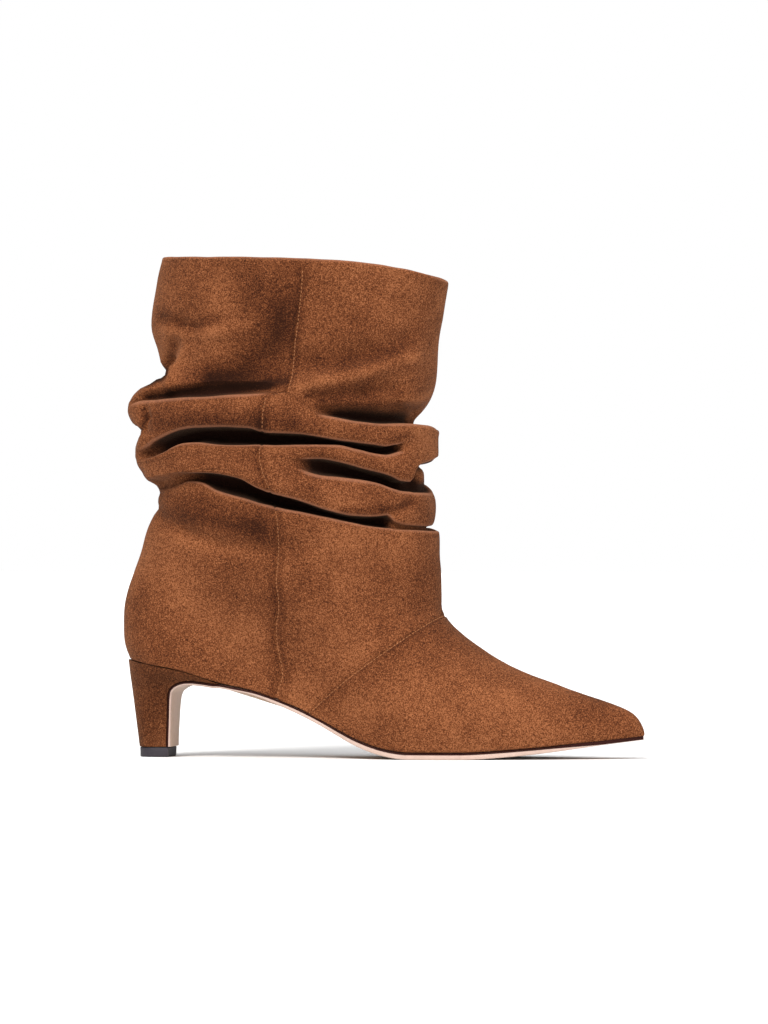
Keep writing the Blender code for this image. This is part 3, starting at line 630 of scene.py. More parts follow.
# Nap darker (below 0) or lighter along soft strokes, as seen from the outer side: partly the nap's own
# brushed tone, partly painted shade in creases and hollows and painted highlight on ridges
napAndShadeStrokes = (
    (((3.1, 223.1), (12.5, 219.6), (19.2, 217.2), (31.2, 220.6)), 2.6, -0.9),
    (((7.2, 215.6), (19.9, 213.5), (34.7, 215.2), (46, 217.1)), 2.6, 0.4),
    (((9.2, 207.5), (7, 199.4), (4.1, 194.3)), 2, -0.7),
    (((14.3, 204.9), (8.7, 196.3), (6.6, 190.8)), 1.8, 0.3),
    (((4.2, 194.8), (2, 191.4), (-3.5, 188.8)), 1.7, -1.8),
    (((66, 226), (60, 206), (42, 196), (22, 189)), 8.5, -0.85),
    (((0, 92), (18, 74), (44, 66)), 16, 0.5),
    (((176, 52), (222, 26)), 12, -0.3),
    (((29.1, 190), (62.3, 190.8)), 5.5, -0.7),
    (((7.2, 183.4), (29.1, 184.6), (57.2, 187.4)), 2.2, -1.7),
    (((-4, 182), (7.2, 182.6)), 1.1, -1.5),
    (((57.2, 187.6), (66, 189.2)), 2.2, -0.6),
    (((75.6, 197.9), (106.3, 200.6), (117.5, 204), (125.7, 208)), 5, -0.7),
    (((84, 178), (104, 177.2), (128, 177.4)), 2.8, -0.6),
    (((67.5, 185.2), (84.1, 188.7), (100.7, 192.3), (111.9, 195.8), (123.1, 200.1), (131.3, 201.4)),
     3, 0.55),
    (((78.7, 181.7), (92.5, 183.2), (106.3, 184.7), (123.1, 184.7)), 3.6, -0.6),
    (((125.2, 180.1), (132.9, 180.3), (139, 183.7)), 1.3, 0.5),
    (((24, 241.4), (34.2, 226.2)), 9, 0.2),
    (((48, 246), (62, 216)), 9, -0.25),
    (((4, 168.5), (70, 168)), 5.5, -0.75),
    (((6.1, 123.5), (26, 120.5), (53.1, 115.5)), 5, -1),
    (((4, 132), (30, 128), (52, 122)), 4, -0.5),
    (((12, 111), (32.2, 104.5), (56, 101.5)), 3, 0.3),
    (((-5.6, 175.6), (-4.9, 172), (-5.2, 169), (-6.6, 166)), 1, -1.25),
    (((95.5, 124), (110.9, 124.4), (123.7, 126.6), (129, 129)), 2.2, -0.75),
    (((128, 163), (120, 160)), 1.8, -0.6),
)

sideSeam = {  # by height, where it lies; columns near it; its groove, the swell beside it and their shading
    "z": (0, 25, 35, 45, 59, 75, 90, 110, 125, 135, 150, 168, 176.6, 178.6, 188, 200, 215, 249, 260),
    "turn": (.352, .371, .388, .4055, .441, .488, .5, .496, .49, .478, .46, .467, .478, .522, .527, .531,
             .542, .555, .555),
    "near": (-0.0048, -0.0016, 0.0016, 0.0048), "clear": 0.004, "groove": 0.5, "width": 0.5, "puff": 0.26,
    # shade is painted shade beside the groove; panel darkens one side of the seam and lightens the other
    "puffAt": 1.9, "puffWidth": 1.8, "inFold": 0.4, "shade": -0.5, "shadeAt": 1.7, "panel": 0.26,
    "panelFade": 16, "turnOver": 2,
}
vampSeam = {
    "x": (75.0, 81.6, 93.4, 109.2, 129.0, 145.2, 152.0), "z": (17.8, 22.8, 32.9, 45.0, 59.2, 70.8, 75.4),
    "cuts": (-2.4, -1.3, -0.6, 0.0, 0.6, 1.3), "cutReach": 9, "rise": (48.0, 67.4), "reach": 25, "top": 80,
    "groove": 0.38, "width": 0.55, "step": 0.4, "stepLength": 7.0, "stepFrom": 0.8, "puff": 0.18,
    # shade is painted shade beside the groove, panel painted shade on the vamp side of the seam
    "puffWidth": 1.4, "shade": -0.4, "shadeAt": 0.75, "shadeWidth": 0.5, "panel": -0.45, "panelFade": 9.0,
}

foldCurves = {
    fold: {part: calmCurve(rows["turn"], rows[part], 2.0) for part in ("low", "high", "depth")}
    for fold, rows in folds.items()
}
ledgeCurve = calmCurve(ledge["turn"], ledge["out"], 2.0)
bellyCurves = {name: calmCurve(bellies["turn"], row, 2.0) for name, row in bellies.items() if name != "turn"}
collarLevels = [level for level in collar if level != "turn"]
collarCurves = [calmCurve(collar["turn"], collar[level], 2.0) for level in collarLevels]
collarEdge = calmCurve(collar["turn"], collarTop, 2.0)
foldNames = list(folds)
rolls = [name for name in bellies if name != "turn"]
seamCurve = calmCurve(sideSeam["z"], sideSeam["turn"])
vampCurve = naturalCurve(vampSeam["x"], vampSeam["z"])
shaftFront = shaft["back"] + shaft["depth"]
breakX = shaftFront + shaft["breakReach"]


def tube(turn, out):  # a place of the shaft's plan, that far outside its oval
    half, wide = shaft["depth"] / 2, shaft["width"] / 2
    c, s = np.cos(math.pi * turn), -np.sin(math.pi * turn)
    size = np.hypot(c / half, s / wide)
    return shaft["back"] + half * (1 - c) - out * (c / half) / size, wide * s + out * (s / wide) / size


def foldLips(fold, turn):  # heights and places of a fold's two lips, its depth and how open it is
    index = foldNames.index(fold)
    under = bellyCurves[rolls[index]](turn)
    over = bellyCurves[rolls[index + 1]](turn) if index + 1 < len(rolls) else collarCurves[0](turn)
    curves = foldCurves[fold]
    depth = np.maximum(curves["depth"](turn), 0)
    opened = np.clip(depth / shaft["openAt"], 0, 1)
    own = np.clip(opened + np.abs(under - over) / shaft["shareStep"], 0, 1)
    middle = (under + over) / 2
    lowSag = shaft["ankleSag"] if index == 0 else shaft["sag"]
    highSag = 0 if index + 1 == len(foldNames) else shaft["sag"]
    lowOut = middle + (under - middle) * own - lowSag * opened
    highOut = middle + (over - middle) * own - highSag * opened
    spread = (1 - opened) * np.maximum(shaft["shutSpan"] - curves["high"](turn) + curves["low"](turn), 0) / 2
    return curves["low"](turn) - spread, curves["high"](turn) + spread, lowOut, highOut, depth, opened


def noseOf(rise):  # where a ring of the foot ends in front, and the rise at which the shaft begins
    x = np.linspace(breakX, toeX, 400)
    low, _, front = foldLips("ankle", 1.0)[:3]
    reach = ridgeHeight(x) / (low - shaft["lipReach"] - baseHeight(x))
    if rise <= reach[0]:
        return float(np.interp(rise, reach[::-1], x[::-1])), reach[0]
    above = (rise - reach[0]) / (1 - reach[0])
    return float(breakX + (shaftFront + front - breakX) * above**shaft["noseHold"]), reach[0]


def heelOf(rise):  # where it ends behind
    back = naturalCurve(counter["up"], counter["back"])(rise)
    ahead = naturalCurve(counter["up"], counter["ahead"])(rise)
    return float(last["back"] - last["counterSwell"] * back + (shaft["back"] - last["back"]) * ahead)


def footRing(rise, turn):  # a ring of the foot, at that share of the way from the sole to the ankle's fold
    nose, breakRise = noseOf(rise)
    heel = heelOf(rise)
    side = np.where(turn <= 1, -1, 1)
    t = np.where(turn <= 1, turn, 2 - turn)
    x = heel + (nose - heel) * (1 - np.cos(math.pi * t)) / 2
    low, _, lowOut = foldLips("ankle", turn)[:3]
    base = baseHeight(x)
    z = base * (1 - rise) + (low - shaft["lipReach"]) * rise
    frontTop = foldCurves["ankle"]["low"](1.0) - shaft["lipReach"]
    share = np.minimum(rise * (frontTop - base) / np.maximum(ridgeHeight(x), 1e-6), 1)
    width = lastWidth(x, side) * endShape((x - heel) / (toeX - heel)) * sectionWidth(share)
    oval = shaft["width"] / 2 * (1 - shaft["ankleSlim"] * (1 - rise)) * np.sin(math.pi * t)
    width = width + (oval - width) * ease((rise - shaft["lowShare"]) / (breakRise - shaft["lowShare"]))
    tubeX, tubeY = tube(turn, lowOut + shaft["topOut"])
    near = ease((rise - 1 + shaft["blendShare"]) / shaft["blendShare"])
    return np.stack([x + (tubeX - x) * near, side * width + (tubeY - side * width) * near, z], axis=1)


# each row's lip and valley values are its shares of painted lip highlight and painted valley shade
def shaftRows(turn):  # rows of (out, height, lip, valley) from the ankle's lip to the collar's edge
    rows = []
    lips = [foldLips(name, turn) for name in foldNames]
    reach = shaft["lipReach"]
    zero = np.zeros_like(turn)
    for index, name in enumerate(foldNames):
        low, high, lowOut, highOut, depth, opened = lips[index]
        shelf = ledgeCurve(turn) if name == ledge["fold"] else zero
        onLedge = shelf / max(ledge["out"])
        deepest = np.minimum(lowOut, highOut) - depth
        # painted valley shade grows with a fold's depth and is full from darkAt
        dark = np.clip(depth / shaft["darkAt"], 0, 1)
        for row in softRows if name == "collar" else foldRows:
            shut, wide, onShelf, inward, half, lip, valleyShade = row
            share = (shut + (wide - shut) * opened) * (1 - onLedge) + onShelf * onLedge
            slope = lowOut + (highOut - lowOut) * shut
            edge = lowOut if half < 0 else highOut
            openOut = edge + (deepest - edge) * inward
            if abs(half) == 2:
                ofReach, ofDepth = shaft["lipRound"]
                openOut = edge - np.minimum(ofReach * reach, ofDepth * (edge - deepest))
            if half == 0:
                openOut = deepest + shelf
            elif half == 1 and onShelf < ledge["carries"]:
                openOut = openOut + (deepest - openOut) * onLedge
            out = (slope - depth * inward) * (1 - opened) + openOut * opened
            shade = valleyShade * dark * (1 - onLedge * (ledge["lit"][0] < onShelf < ledge["lit"][1]))
            rows.append((out, low + (high - low) * share, lip * opened, shade))
        if index + 1 < len(foldNames):
            nextLow, nextLowOut = lips[index + 1][0], lips[index + 1][2]
            span = nextLow - high
            hold = np.minimum(reach, rollShape["lip"] * span)
            belly = bellyCurves[rolls[index + 1]](turn)
            foot = highOut + rollShape["lowLip"] * np.minimum(shaft["sag"], belly - highOut)
            rows.append((foot, high + hold, zero, zero))
            for share, full in rollShape["full"]:
                lip = highOut + (nextLowOut - highOut) * share
                rows.append((lip + (belly - lip) * full, high + span * share, zero, zero))
            head = nextLowOut + rollShape["highLip"] * (belly - nextLowOut)
            rows.append((head, nextLow - hold, rollShape["highLip"] * lips[index + 1][5], zero))
    start, top = lips[-1][1], shaft["height"] * collarEdge(turn)
    reachUp = [curve(turn) for curve in collarCurves]
    for level, out in zip(collarLevels[1:-1], reachUp[1:-1]):
        rows.append((out, start + (top - start) * level, zero, zero))
    for inward, rise, lip in collarRim:
        rows.append((reachUp[-1] - inward, top + rise, lip + zero, zero))
    return rows


def seamTurn(u, z):  # column places warped so that column 0.5 follows the side seam on both sides
    t = np.where(u <= 1, u, 2 - u)
    warped = t + 4 * (seamCurve(z) - 0.5) * t * (1 - t)
    return np.where(u <= 1, warped, 2 - warped)


def upperRings():  # the rows of control points from under the foot up, and what each carries with it
    even = np.arange(shaft["columns"]) * 2 / shaft["columns"]
    near = np.array([middle + step for middle in (0.5, 1.5) for step in (*sideSeam["near"], 0)])
    columns = np.unique(np.round(np.concatenate([even, near]), 5))
    known = np.round(near, 5)
    keep = [i for i, u in enumerate(columns) if u in known or min(abs(u - near)) > sideSeam["clear"]]
    columns = columns[keep]
    footLow, footSpan = shaft["footSpan"]
    first = footRing(0, seamTurn(columns, footLow))
    middleLine = np.stack([np.clip(first[:, 0], 0, 200), first[:, 1] * 0, first[:, 2]], axis=1)
    pull = middleLine - first
    pull = pull / np.maximum(np.linalg.norm(pull, axis=1, keepdims=True), 1e-6) * shaft["underTuck"]
    control, hints = [first + pull], [np.zeros((len(columns), 4))]
    for rise in shaft["footRises"]:
        turn = seamTurn(columns, footLow + footSpan * rise)
        ring = footRing(rise, turn)
        if rise == 0:
            ring = (ring + footRing(shaft["firstRise"], turn)) / 2 * (1, 1, 0) + ring * (0, 0, 1)
        control.append(ring)
        hints.append(np.stack([0 * turn, 0 * turn, turn, 0 * turn], axis=1))
    plain = shaftRows(seamTurn(columns, 150.0))
    for index, (out, z, lip, valleyShade) in enumerate(plain):
        turn = seamTurn(columns, float(np.mean(z)))
        out, z, lip, valleyShade = shaftRows(turn)[index]
        control.append(np.stack([*tube(turn, out), z], axis=1))
        hints.append(np.stack([lip, valleyShade, turn, out], axis=1))
    return columns, np.concatenate([np.array(control), np.array(hints)], axis=2)


def outwardOf(rows):  # unit normals of a grid of rings
    across = np.roll(rows, -1, axis=1) - np.roll(rows, 1, axis=1)
    up = np.gradient(rows, axis=0)
    normal = np.cross(across, up)
    return normal / np.maximum(np.linalg.norm(normal, axis=2, keepdims=True), 1e-9)


def seenFrom(places, side):  # how far along and up the picture, and how squarely a place faces that side
    centre = view["target"][0] * 1000
    nearer = side * places[..., 1] * math.sin(viewTurn)
    along = centre + (places[..., 0] - centre) * math.cos(viewTurn) - nearer
    return along, places[..., 2], ease((side * places[..., 1] + marking["wrap"]) / marking["fade"])


def strokeAt(along, up, line, width):  # 1 on a line of the picture and fading beside it
    far = np.full(along.shape, 1e6)
    for start, end in zip(line, line[1:]):
        a, way = np.array(start), np.array(end) - np.array(start)
        share = np.clip(((along - a[0]) * way[0] + (up - a[1]) * way[1]) / (way @ way), 0, 1)
        far = np.minimum(far, np.hypot(along - a[0] - share * way[0], up - a[1] - share * way[1]))
    return np.exp(-(far / width)**2)


def dentHeights(places):
    raised = np.zeros(places.shape[:-1])
    for name, side in (("outer", -1), ("inner", 1)):
        along, up, facing = seenFrom(places, side)
        for start, end, width, height in dents[name]:
            raised += facing * height * strokeAt(along, up, (start, end), width)
    return raised


def napAndShadeMarks(places):
    marks = np.zeros(places.shape[:-1])
    along, up, facing = seenFrom(places, -1)
    for line, width, tone in napAndShadeStrokes:
        marks += facing * tone * strokeAt(along, up, line, width)
    return np.clip(marks, marking["darkest"], marking["lightest"])


def wobble(places, size, amount, seed):  # soft unevenness
    flat = places.reshape(-1, 3)
    shift = Vector((seed, -seed, 2 * seed))
    values = [noise.noise(Vector(p) / size + shift) for p in flat]
    return amount * np.array(values).reshape(places.shape[:-1])


columns, controlRows = upperRings()
denseRows = flowRows(controlRows, shaft["smooth"])
# the lip and valley hints lead to the painted lip highlight and painted valley shade; the valley hint also
# marks the folds' insides for the shape
skin, (lipHighlightHint, valleyHint, turns, outs) = denseRows[..., :3], np.moveaxis(denseRows[..., 3:], 2, 0)

# The rolls at the back are drawn to their outline
fadeFrom, fadeTo = backOutline["fade"]
atBack = ease((fadeTo - np.minimum(turns, 2 - turns)) / (fadeTo - fadeFrom))
atBack *= ease((skin[..., 2] - backOutline["z"][0]) / backOutline["ends"])
atBack *= ease((backOutline["z"][-1] - skin[..., 2]) / backOutline["ends"])
wanted = calmCurve(backOutline["z"], backOutline["out"])(skin[..., 2])
newOut = outs + (wanted - outs) * atBack
skin[..., :2] += np.stack(tube(turns, newOut), axis=2) - np.stack(tube(turns, outs), axis=2)

# Dents, unevenness and the side seams' grooves are raised from the skin or sunk into it
skinOut = outwardOf(skin)
onShaft = ramped(skin[..., 2], shaft["onShaft"])
raised = dentHeights(skin) * (1 - np.clip(valleyHint * marking["smoothFold"], 0, 1))
for size, amount, seed in marking["wobbles"]:
    raised = raised + wobble(skin, size, amount, seed) * onShaft
seamSide = (columns[None, :] - 0.5) * shaft["seamArc"]
fromSeam = np.minimum(np.abs(columns - 0.5), np.abs(columns - 1.5))[None, :] * shaft["seamArc"]
groove = -sideSeam["groove"] * np.exp(-(fromSeam / sideSeam["width"])**2)
groove += sideSeam["puff"] * np.exp(-((fromSeam - sideSeam["puffAt"]) / sideSeam["puffWidth"])**2)
rimRow = (len(controlRows) - len(collarRim) + 1) * shaft["smooth"]
edgeFade = np.clip((rimRow - np.arange(len(skin))) / shaft["edgeFade"], 0, 1)[:, None]
raised += groove * np.where(valleyHint > 0.5, sideSeam["inFold"], 1) * edgeFade
clear = np.minimum(outs, newOut) + np.minimum(raised, 0)  # the lining stays inside the deepest fold nearby
for step in range(shaft["liningReach"]):
    near = np.pad(clear, ((1, 1), (0, 0)), mode="edge")
    beside = (np.roll(clear, 1, axis=1), np.roll(clear, -1, axis=1))
    clear = np.minimum.reduce([clear, near[:-2], near[2:], *beside])
skin = skin + skinOut * raised[..., None]
skinOut = outwardOf(skin)
print("upper skin shaped:", skin.shape)

edgeRow = rimRow - shaft["smooth"]
footTop = (len(shaft["footRises"]) - 4) * shaft["smooth"]
insideRows, insideLining = [], []


def insideRow(j, wall):  # a row of the lining, that far inside the suede
    offset = skin[j] - skinOut[j] * wall
    if j <= footTop:
        return offset
    tubeX, tubeY = tube(turns[j], clear[j] - wall)
    inner = np.stack([tubeX, tubeY, denseRows[j, :, 2]], axis=1)
    return offset + (inner - offset) * ease((j - footTop) / shaft["liningFade"])


for j in [*range(edgeRow, footTop, -2), *range(footTop, 2, -1)]:
    hem = float(np.mean(skin[edgeRow, :, 2] - skin[j, :, 2])) < shaft["hem"]
    if not hem and not insideLining[-1]:
        insideRows.append(insideRow(j + 1, shaft["hemWall"]))
        insideLining.append(False)
    insideRows.append(insideRow(j, shaft["hemWall"] if hem else shaft["wall"]))
    insideLining.append(not hem)
allRows = np.concatenate([skin, np.array(insideRows)])
liningFrom = len(skin) + insideLining.index(True) - 1

# What the suede's colour reads: painted highlights on the lips, painted shade in the valleys and beside the
# seams, and the way the nap lies, partly its own tone and partly painted shade and highlight on the relief
napAndShade = napAndShadeMarks(skin)
# painted shade beside the side seam's groove
napAndShade += sideSeam["shade"] * np.exp(-(fromSeam / sideSeam["width"] - sideSeam["shadeAt"])**2) * edgeFade
# one side of the seam darker, the other lighter, fading away from it
panel = np.tanh(seamSide / sideSeam["turnOver"]) * np.exp(-np.abs(seamSide) / sideSeam["panelFade"])
napAndShade += sideSeam["panel"] * panel * edgeFade
# strong dark strokes of painted shade also take the near-black painted valley shade
deepNapShade = marking["deepShare"] * ramped(-napAndShade, marking["deepRamp"])
valleyShadeMark = np.maximum(ramped(valleyHint, marking["valleyShadeRamp"]), deepNapShade)
marks = {"lip": ramped(lipHighlightHint, marking["lipHighlightRamp"]), "valleyShade": valleyShadeMark, "napAndShade": napAndShade}

upperBm = gridShell(allRows, closedRows=True)
for name, grid in marks.items():
    grid = np.concatenate([grid * marking["strength"][name], np.zeros((len(insideRows), len(columns)))])
    grid = np.concatenate([grid, grid[:, :1]], axis=1)
    markVerts(upperBm, name, np.concatenate([grid, grid[:1]]).ravel())
for i, face in enumerate(upperBm.faces):
    row = i // len(columns)
    face.material_index = 1 if liningFrom <= row < len(allRows) - 1 else 0
faceOut(upperBm)

# The vamp seam is cut across the skin where the seam's curve is level, then sunk and set proud, with
# painted shade beside its groove and on the vamp side
vampFrom, vampTo = vampSeam["x"][0], vampSeam["x"][-1]
for vert in upperBm.verts:
    vert.co.z -= float(vampCurve(vert.co.x))
for cut in vampSeam["cuts"]:
    near = [face for face in upperBm.faces if face.material_index == 0
            and vampFrom < face.calc_center_median().x < vampTo
            and abs(face.calc_center_median().z) < vampSeam["cutReach"]]
    parts = {item for face in near for item in (face, *face.edges, *face.verts)}
    bmesh.ops.bisect_plane(upperBm, geom=list(parts), dist=0.0001, plane_co=(0, 0, cut), plane_no=(0, 0, 1))
heights = {vert: vert.co.z for vert in upperBm.verts}
for vert in upperBm.verts:
    vert.co.z += float(vampCurve(vert.co.x))
upperBm.normal_update()
napShadeLayer = upperBm.verts.layers.float["napAndShade"]
lean = math.cos(math.atan2(*vampSeam["rise"]))
vampLine = []
for vert in upperBm.verts:
    d = heights[vert] * lean
    inSkin = all(face.material_index == 0 for face in vert.link_faces)
    low = abs(d) < vampSeam["reach"] and vert.co.z < vampSeam["top"]
    if inSkin and low and vampFrom < vert.co.x < vampTo + 2:
        move = -vampSeam["groove"] * math.exp(-(d / vampSeam["width"])**2)
        if d < 0:
            step = vampSeam["step"] * math.exp(d / vampSeam["stepLength"])
            move += step * min(1, -d / vampSeam["stepFrom"])
        else:
            move += vampSeam["puff"] * math.exp(-(d / vampSeam["puffWidth"] - 1)**2)
        vert.co += vert.normal * move
        # painted shade beside the vamp seam's groove, and more on the vamp side
        beside = (abs(d) - vampSeam["shadeAt"]) / vampSeam["shadeWidth"]
        vert[napShadeLayer] += vampSeam["shade"] * math.exp(-beside**2)
        if d < 0:
            vert[napShadeLayer] += vampSeam["panel"] * math.exp(d / vampSeam["panelFade"])
    if inSkin and abs(heights[vert]) < 0.001 and vampFrom < vert.co.x < vampTo:
        vampLine.append(vert.co.copy())
upper = finishPiece(upperBm, "suedeBoot", [suedeUpper, leathers["liningLeather"]], "upper")
print("upper built:", len(upper.data.polygons), "faces")


# Stitches of the closed seams: small loops of thread in the grooves

stitch = {
    "pitch": 2.0, "half": 0.8, "round": 0.2, "sunk": 0.02, "ahead": 0.4, "fromRow": 6, "openBelow": 0.05,
}


def stitchPlaces(path):  # points along a seam and the way it runs at each
    path = np.array(path)
    steps = np.linalg.norm(np.diff(path, axis=0), axis=1)
    way = np.concatenate([[0], np.cumsum(steps)])
    places = np.arange(stitch["pitch"], way[-1] - 1, stitch["pitch"])
    points = np.stack([np.interp(places, way, path[:, k]) for k in range(3)], axis=1)
    ahead = np.stack([np.interp(places + stitch["ahead"], way, path[:, k]) for k in range(3)], axis=1)
    return points, ahead - points


stitchBm = bmesh.new()
paths = []
for side in (0.5, 1.5):
    column = int(np.argmin(np.abs(columns - side)))
    rows = [j for j in range(stitch["fromRow"], edgeRow) if valleyHint[j, column] < stitch["openBelow"]]
    runs = np.split(rows, [i + 1 for i in range(len(rows) - 1) if rows[i + 1] - rows[i] > 1])
    paths += [skin[run, column] - skinOut[run, column] * stitch["sunk"] for run in runs if len(run) > 6]
for side in (-1, 1):
    line = sorted((co for co in vampLine if co.y * side > 0), key=lambda co: co.x)
    paths.append([tuple(co) for co in line])
for path in paths:
    if len(path) < 3:
        continue
    for point, way in zip(*stitchPlaces(path)):
        turnTo = Vector(way).to_track_quat("X", "Z").to_matrix().to_4x4()
        size = Matrix.Diagonal((stitch["half"], stitch["round"], stitch["round"], 1))
        bmesh.ops.create_uvsphere(stitchBm, u_segments=6, v_segments=4, radius=1,
                                  matrix=Matrix.Translation(Vector(point)) @ turnTo @ size)
stitches = finishPiece(stitchBm, "seamStitches", [leathers["threadPaint"]], None)
print("stitches laid:", len(stitches.data.polygons) // 24)


# Heel: covered block, as rings from the tip up

heelSizes = {
    "tipHeight": 5.0, "tipBack": -10.1, "tipWidth": 23.4, "tipRound": 0.56, "depth": 15.6,
    "overlap": 30.2, "inset": 0.4, "proud": 0.7, "sideSteps": 26, "sideStart": 0.35, "rings": 44,
}
heelLevels = {  # by height from tip to seat: how wide it has become, and how far its breast has run forward
    "level": (0.00, 0.30, 0.60, 0.70, 0.77, 0.84, 0.89, 0.94, 1.00),
    "width": (0.00, 0.03, 0.15, 0.27, 0.41, 0.59, 0.73, 0.87, 1.00),
    "breast": (0.000, 0.012, 0.034, 0.060, 0.128, 0.262, 0.420, 0.690, 1.000),
}
breastX = heelSizes["tipBack"] + heelSizes["depth"]
seatEndX = breastX + heelSizes["overlap"]
heelWidth = calmCurve(heelLevels["level"], heelLevels["width"])
heelBreast = calmCurve(heelLevels["level"], heelLevels["breast"])


def heelSide(level, side):  # one side of the heel's outline at that share of its height
    t = np.arange(heelSizes["sideSteps"]) + heelSizes["sideStart"]
    t = t / t[-1]
    share = 1 - np.cos(math.pi * t / 2)
    share = share / share[-1]
    back = heelSizes["tipBack"] + (last["back"] - heelSizes["proud"] - heelSizes["tipBack"]) * level
    front = breastX + heelSizes["overlap"] * heelBreast(level)
    x = back + (front - back) * share
    seatX = last["back"] + (seatEndX - last["back"]) * share
    tip = heelSizes["tipWidth"] / 2 * endRound(share, heelSizes["tipRound"])
    bottom = heelSizes["tipHeight"] + last["gap"]
    z = bottom + (baseHeight(x) - last["gap"] - bottom) * level
    seat = featherWidth(seatX, alongLast(seatX), side, heelSizes["inset"])
    y = tip + (seat - tip) * heelWidth(level)
    return np.stack([x, side * y, z], axis=1)


def heelRing(level):
    return np.concatenate([heelSide(level, -1), heelSide(level, 1)[::-1]])


heelRows = np.array([heelRing(level) for level in np.linspace(0, 1, heelSizes["rings"])])
solidPiece(gridShell(heelRows), "coveredHeel", [suedeHeel], "heel")

heelTip = {  # its length, and by height how much of its outline it fills
    "length": 17.0,
    "rows": ((0.0, 0.885), (0.25, 0.925), (0.7, 0.94), (4.5, 0.962), (4.85, 0.955), (5.0, 0.93)),
}
tipRing = heelRing(0.0)
tipRing[:, 0] -= heelSizes["tipBack"]
tipRing[:, 0] = heelSizes["tipBack"] + tipRing[:, 0] * heelTip["length"] / heelSizes["depth"]
middle = tipRing.mean(axis=0)
tipRows = []
for height, share in heelTip["rows"]:
    row = middle + (tipRing - middle) * share
    row[:, 2] = height
    tipRows.append(row)
tipBm = gridShell(np.array(tipRows))
solidPiece(tipBm, "heelTip", [leathers["tipRubber"]], "top_piece", 60)
print("heel and tip built")


# Outsole: forepart, waist and the flap down the heel's breast, with a dyed line along its upper edge

sole = {
    "stations": 90, "breastStations": 34, "breast": 1.9, "dyed": 1.0, "thinnest": 0.25, "inset": 0.4,
    "clear": 0.3, "tipGap": 0.2, "leave": 3.0, "turnDown": 14, "thinOver": 30, "toeFrom": 200, "toeTo": 232,
    "toeLift": 0.5, "roundOver": 4, "dyedPlaces": (1, 2, 3), "treadPlace": 8,
    # From the top round to the tread: how far in from the edge, how much of the dyed and of the pale layer
    # lies above, and what is added to it, everywhere and at the toe
    "edge": (
        (3.0, 0, 0, 0, 0), (0.5, 0, 0, 0, 0), (0.08, 0, 0, 0.2, -0.2), (0, 0, 0, 0.5, -0.4), (0, 1, 0, 0, 0),
        (0.14, 1, 0, 0.08, 0), (0.16, 1, 0.5, 0, 0), (0.5, 1, 0.88, 0, 0), (1.3, 1, 1, 0, 0),
    ),
}


def solePath():  # from the toe to the heel's breast and down it: place, thickness and both half widths
    tip = toeX - sole["inset"]
    front = tip - sole["tipGap"]
    along = (1 - np.cos(math.pi * np.arange(sole["stations"] + 1) / sole["stations"])) / 2
    path = []
    for x in front - (front - seatEndX - sole["leave"]) * along:
        share = (x - last["back"]) / (tip - last["back"])
        thick = last["sole"] * float(lastCurves["sole"](alongLast(x)))
        widths = [float(featherWidth(x, share, side, sole["inset"])) for side in (-1, 1)]
        path.append((x, float(baseHeight(x)) - sole["clear"], thick, *widths))
    for level in np.linspace(1, 0, sole["breastStations"]):
        outer, inner = heelSide(level, -1)[-1], heelSide(level, 1)[-1]
        path.append((outer[0], outer[2], sole["breast"], -outer[1], inner[1]))
    return np.array(path)


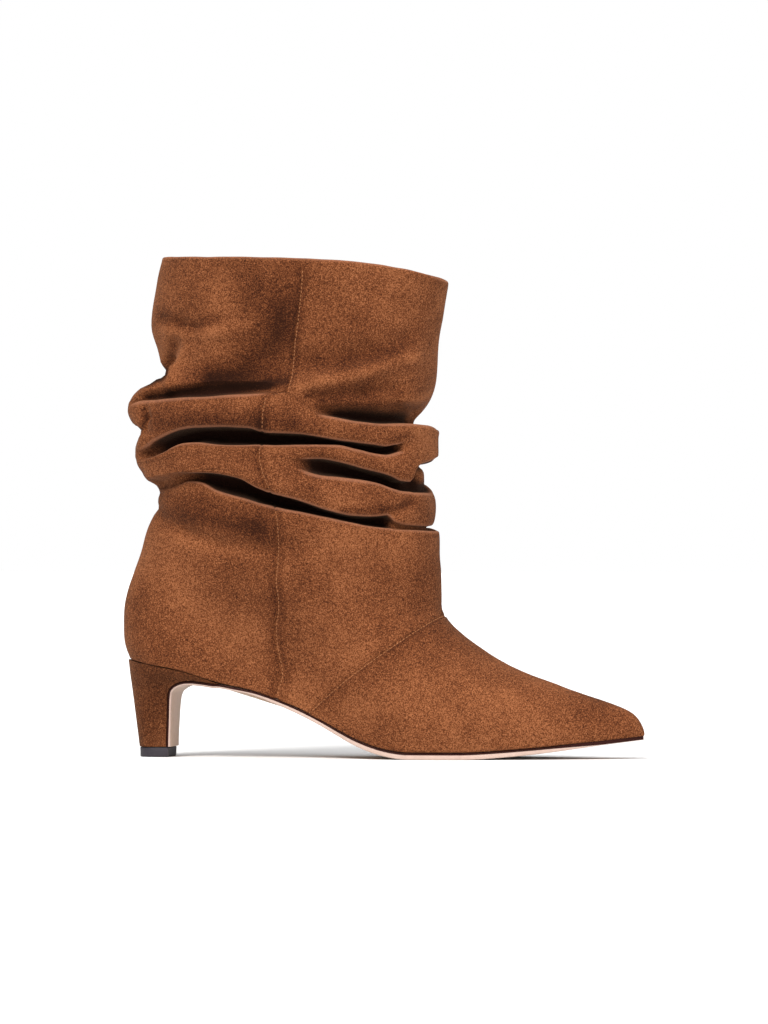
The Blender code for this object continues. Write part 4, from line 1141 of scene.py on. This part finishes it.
path = solePath()
way = np.gradient(path[:, :2], axis=0)
way /= np.linalg.norm(way, axis=1, keepdims=True)
awayX, awayZ = -way[:, 1], way[:, 0]
onBreast = ease((seatEndX + sole["turnDown"] - path[:, 0]) / sole["turnDown"])
awayX, awayZ = awayX * onBreast, awayZ * onBreast - (1 - onBreast)
length = np.hypot(awayX, awayZ)
awayX, awayZ = awayX / length, awayZ / length
thinned = ease((seatEndX + sole["thinOver"] - path[:, 0]) / sole["thinOver"])
thickness = path[:, 2] + (sole["breast"] - path[:, 2]) * thinned
soleRows = []
for (x, z, _, outer, inner), ax, az, t in zip(path, awayX, awayZ, thickness):
    atToe = float(ease((x - sole["toeFrom"]) / (sole["toeTo"] - sole["toeFrom"])))
    pale = max(t - sole["dyed"] * (1 + atToe), sole["thinnest"])
    gap = sole["clear"] * (x < seatEndX + sole["leave"] / 2) - sole["toeLift"] * atToe
    ring = []
    for width, side in ((outer, -1), (inner, 1)):
        fit = min(1, width / sole["roundOver"])
        points = []
        for inward, ofDyed, ofPale, plus, plusAtToe in sole["edge"]:
            down = gap + ofDyed * (t - pale) + ofPale * pale + plus + plusAtToe * atToe
            points.append((x + ax * down, side * (width - inward * fit), z + az * down))
        ring += points if side < 0 else points[::-1]
    soleRows.append(ring)
soleBm = gridShell(np.array(soleRows))
ringCount = len(soleRows[0])
for i, face in enumerate(soleBm.faces):
    place = i % ringCount
    dyed = place in sole["dyedPlaces"] or ringCount - 2 - place in sole["dyedPlaces"]
    face.material_index = 1 if dyed else 2 if place == sole["treadPlace"] else 0
soleFinishes = [leathers[name] for name in ("soleLeather", "dyedEdge", "treadLeather")]
solidPiece(soleBm, "leatherSole", soleFinishes, "outsole")
print("sole built")


# Insole: a padded sock, crowned a little

sock = {
    "inset": 2.4, "toeRoom": 4.6, "steps": 60, "roundOver": 6,
    "rows": ((0, 0.5), (0.4, 0), (1.5, 0), (2, 0.35), (2.3, 1.2), (2.45, 4), (2.55, 9), (2.6, 16), (2.6, 60)),
}


def sockRing(height, drawn):  # the sock's outline at that height, drawn in
    start, end = last["back"] + sock["inset"], toeX - sock["inset"] - sock["toeRoom"]
    x = start + (end - start) * (1 - np.cos(math.pi * (np.arange(sock["steps"]) + 0.5) / sock["steps"])) / 2
    share = (x - start) / (end - start)
    sides = []
    for side in (-1, 1):
        wide = featherWidth(x, share, side, sock["inset"])
        wide = np.maximum(wide - drawn * np.minimum(1, wide / sock["roundOver"]), 0)
        sides.append(np.stack([x, side * wide, baseHeight(x) + height], axis=1))
    return np.concatenate([sides[0], sides[1][::-1]])


sockBm = gridShell(np.array([sockRing(*row) for row in sock["rows"]]))
solidPiece(sockBm, "leatherSock", [leathers["sockLeather"]], "insole", 60)
print("insole built")
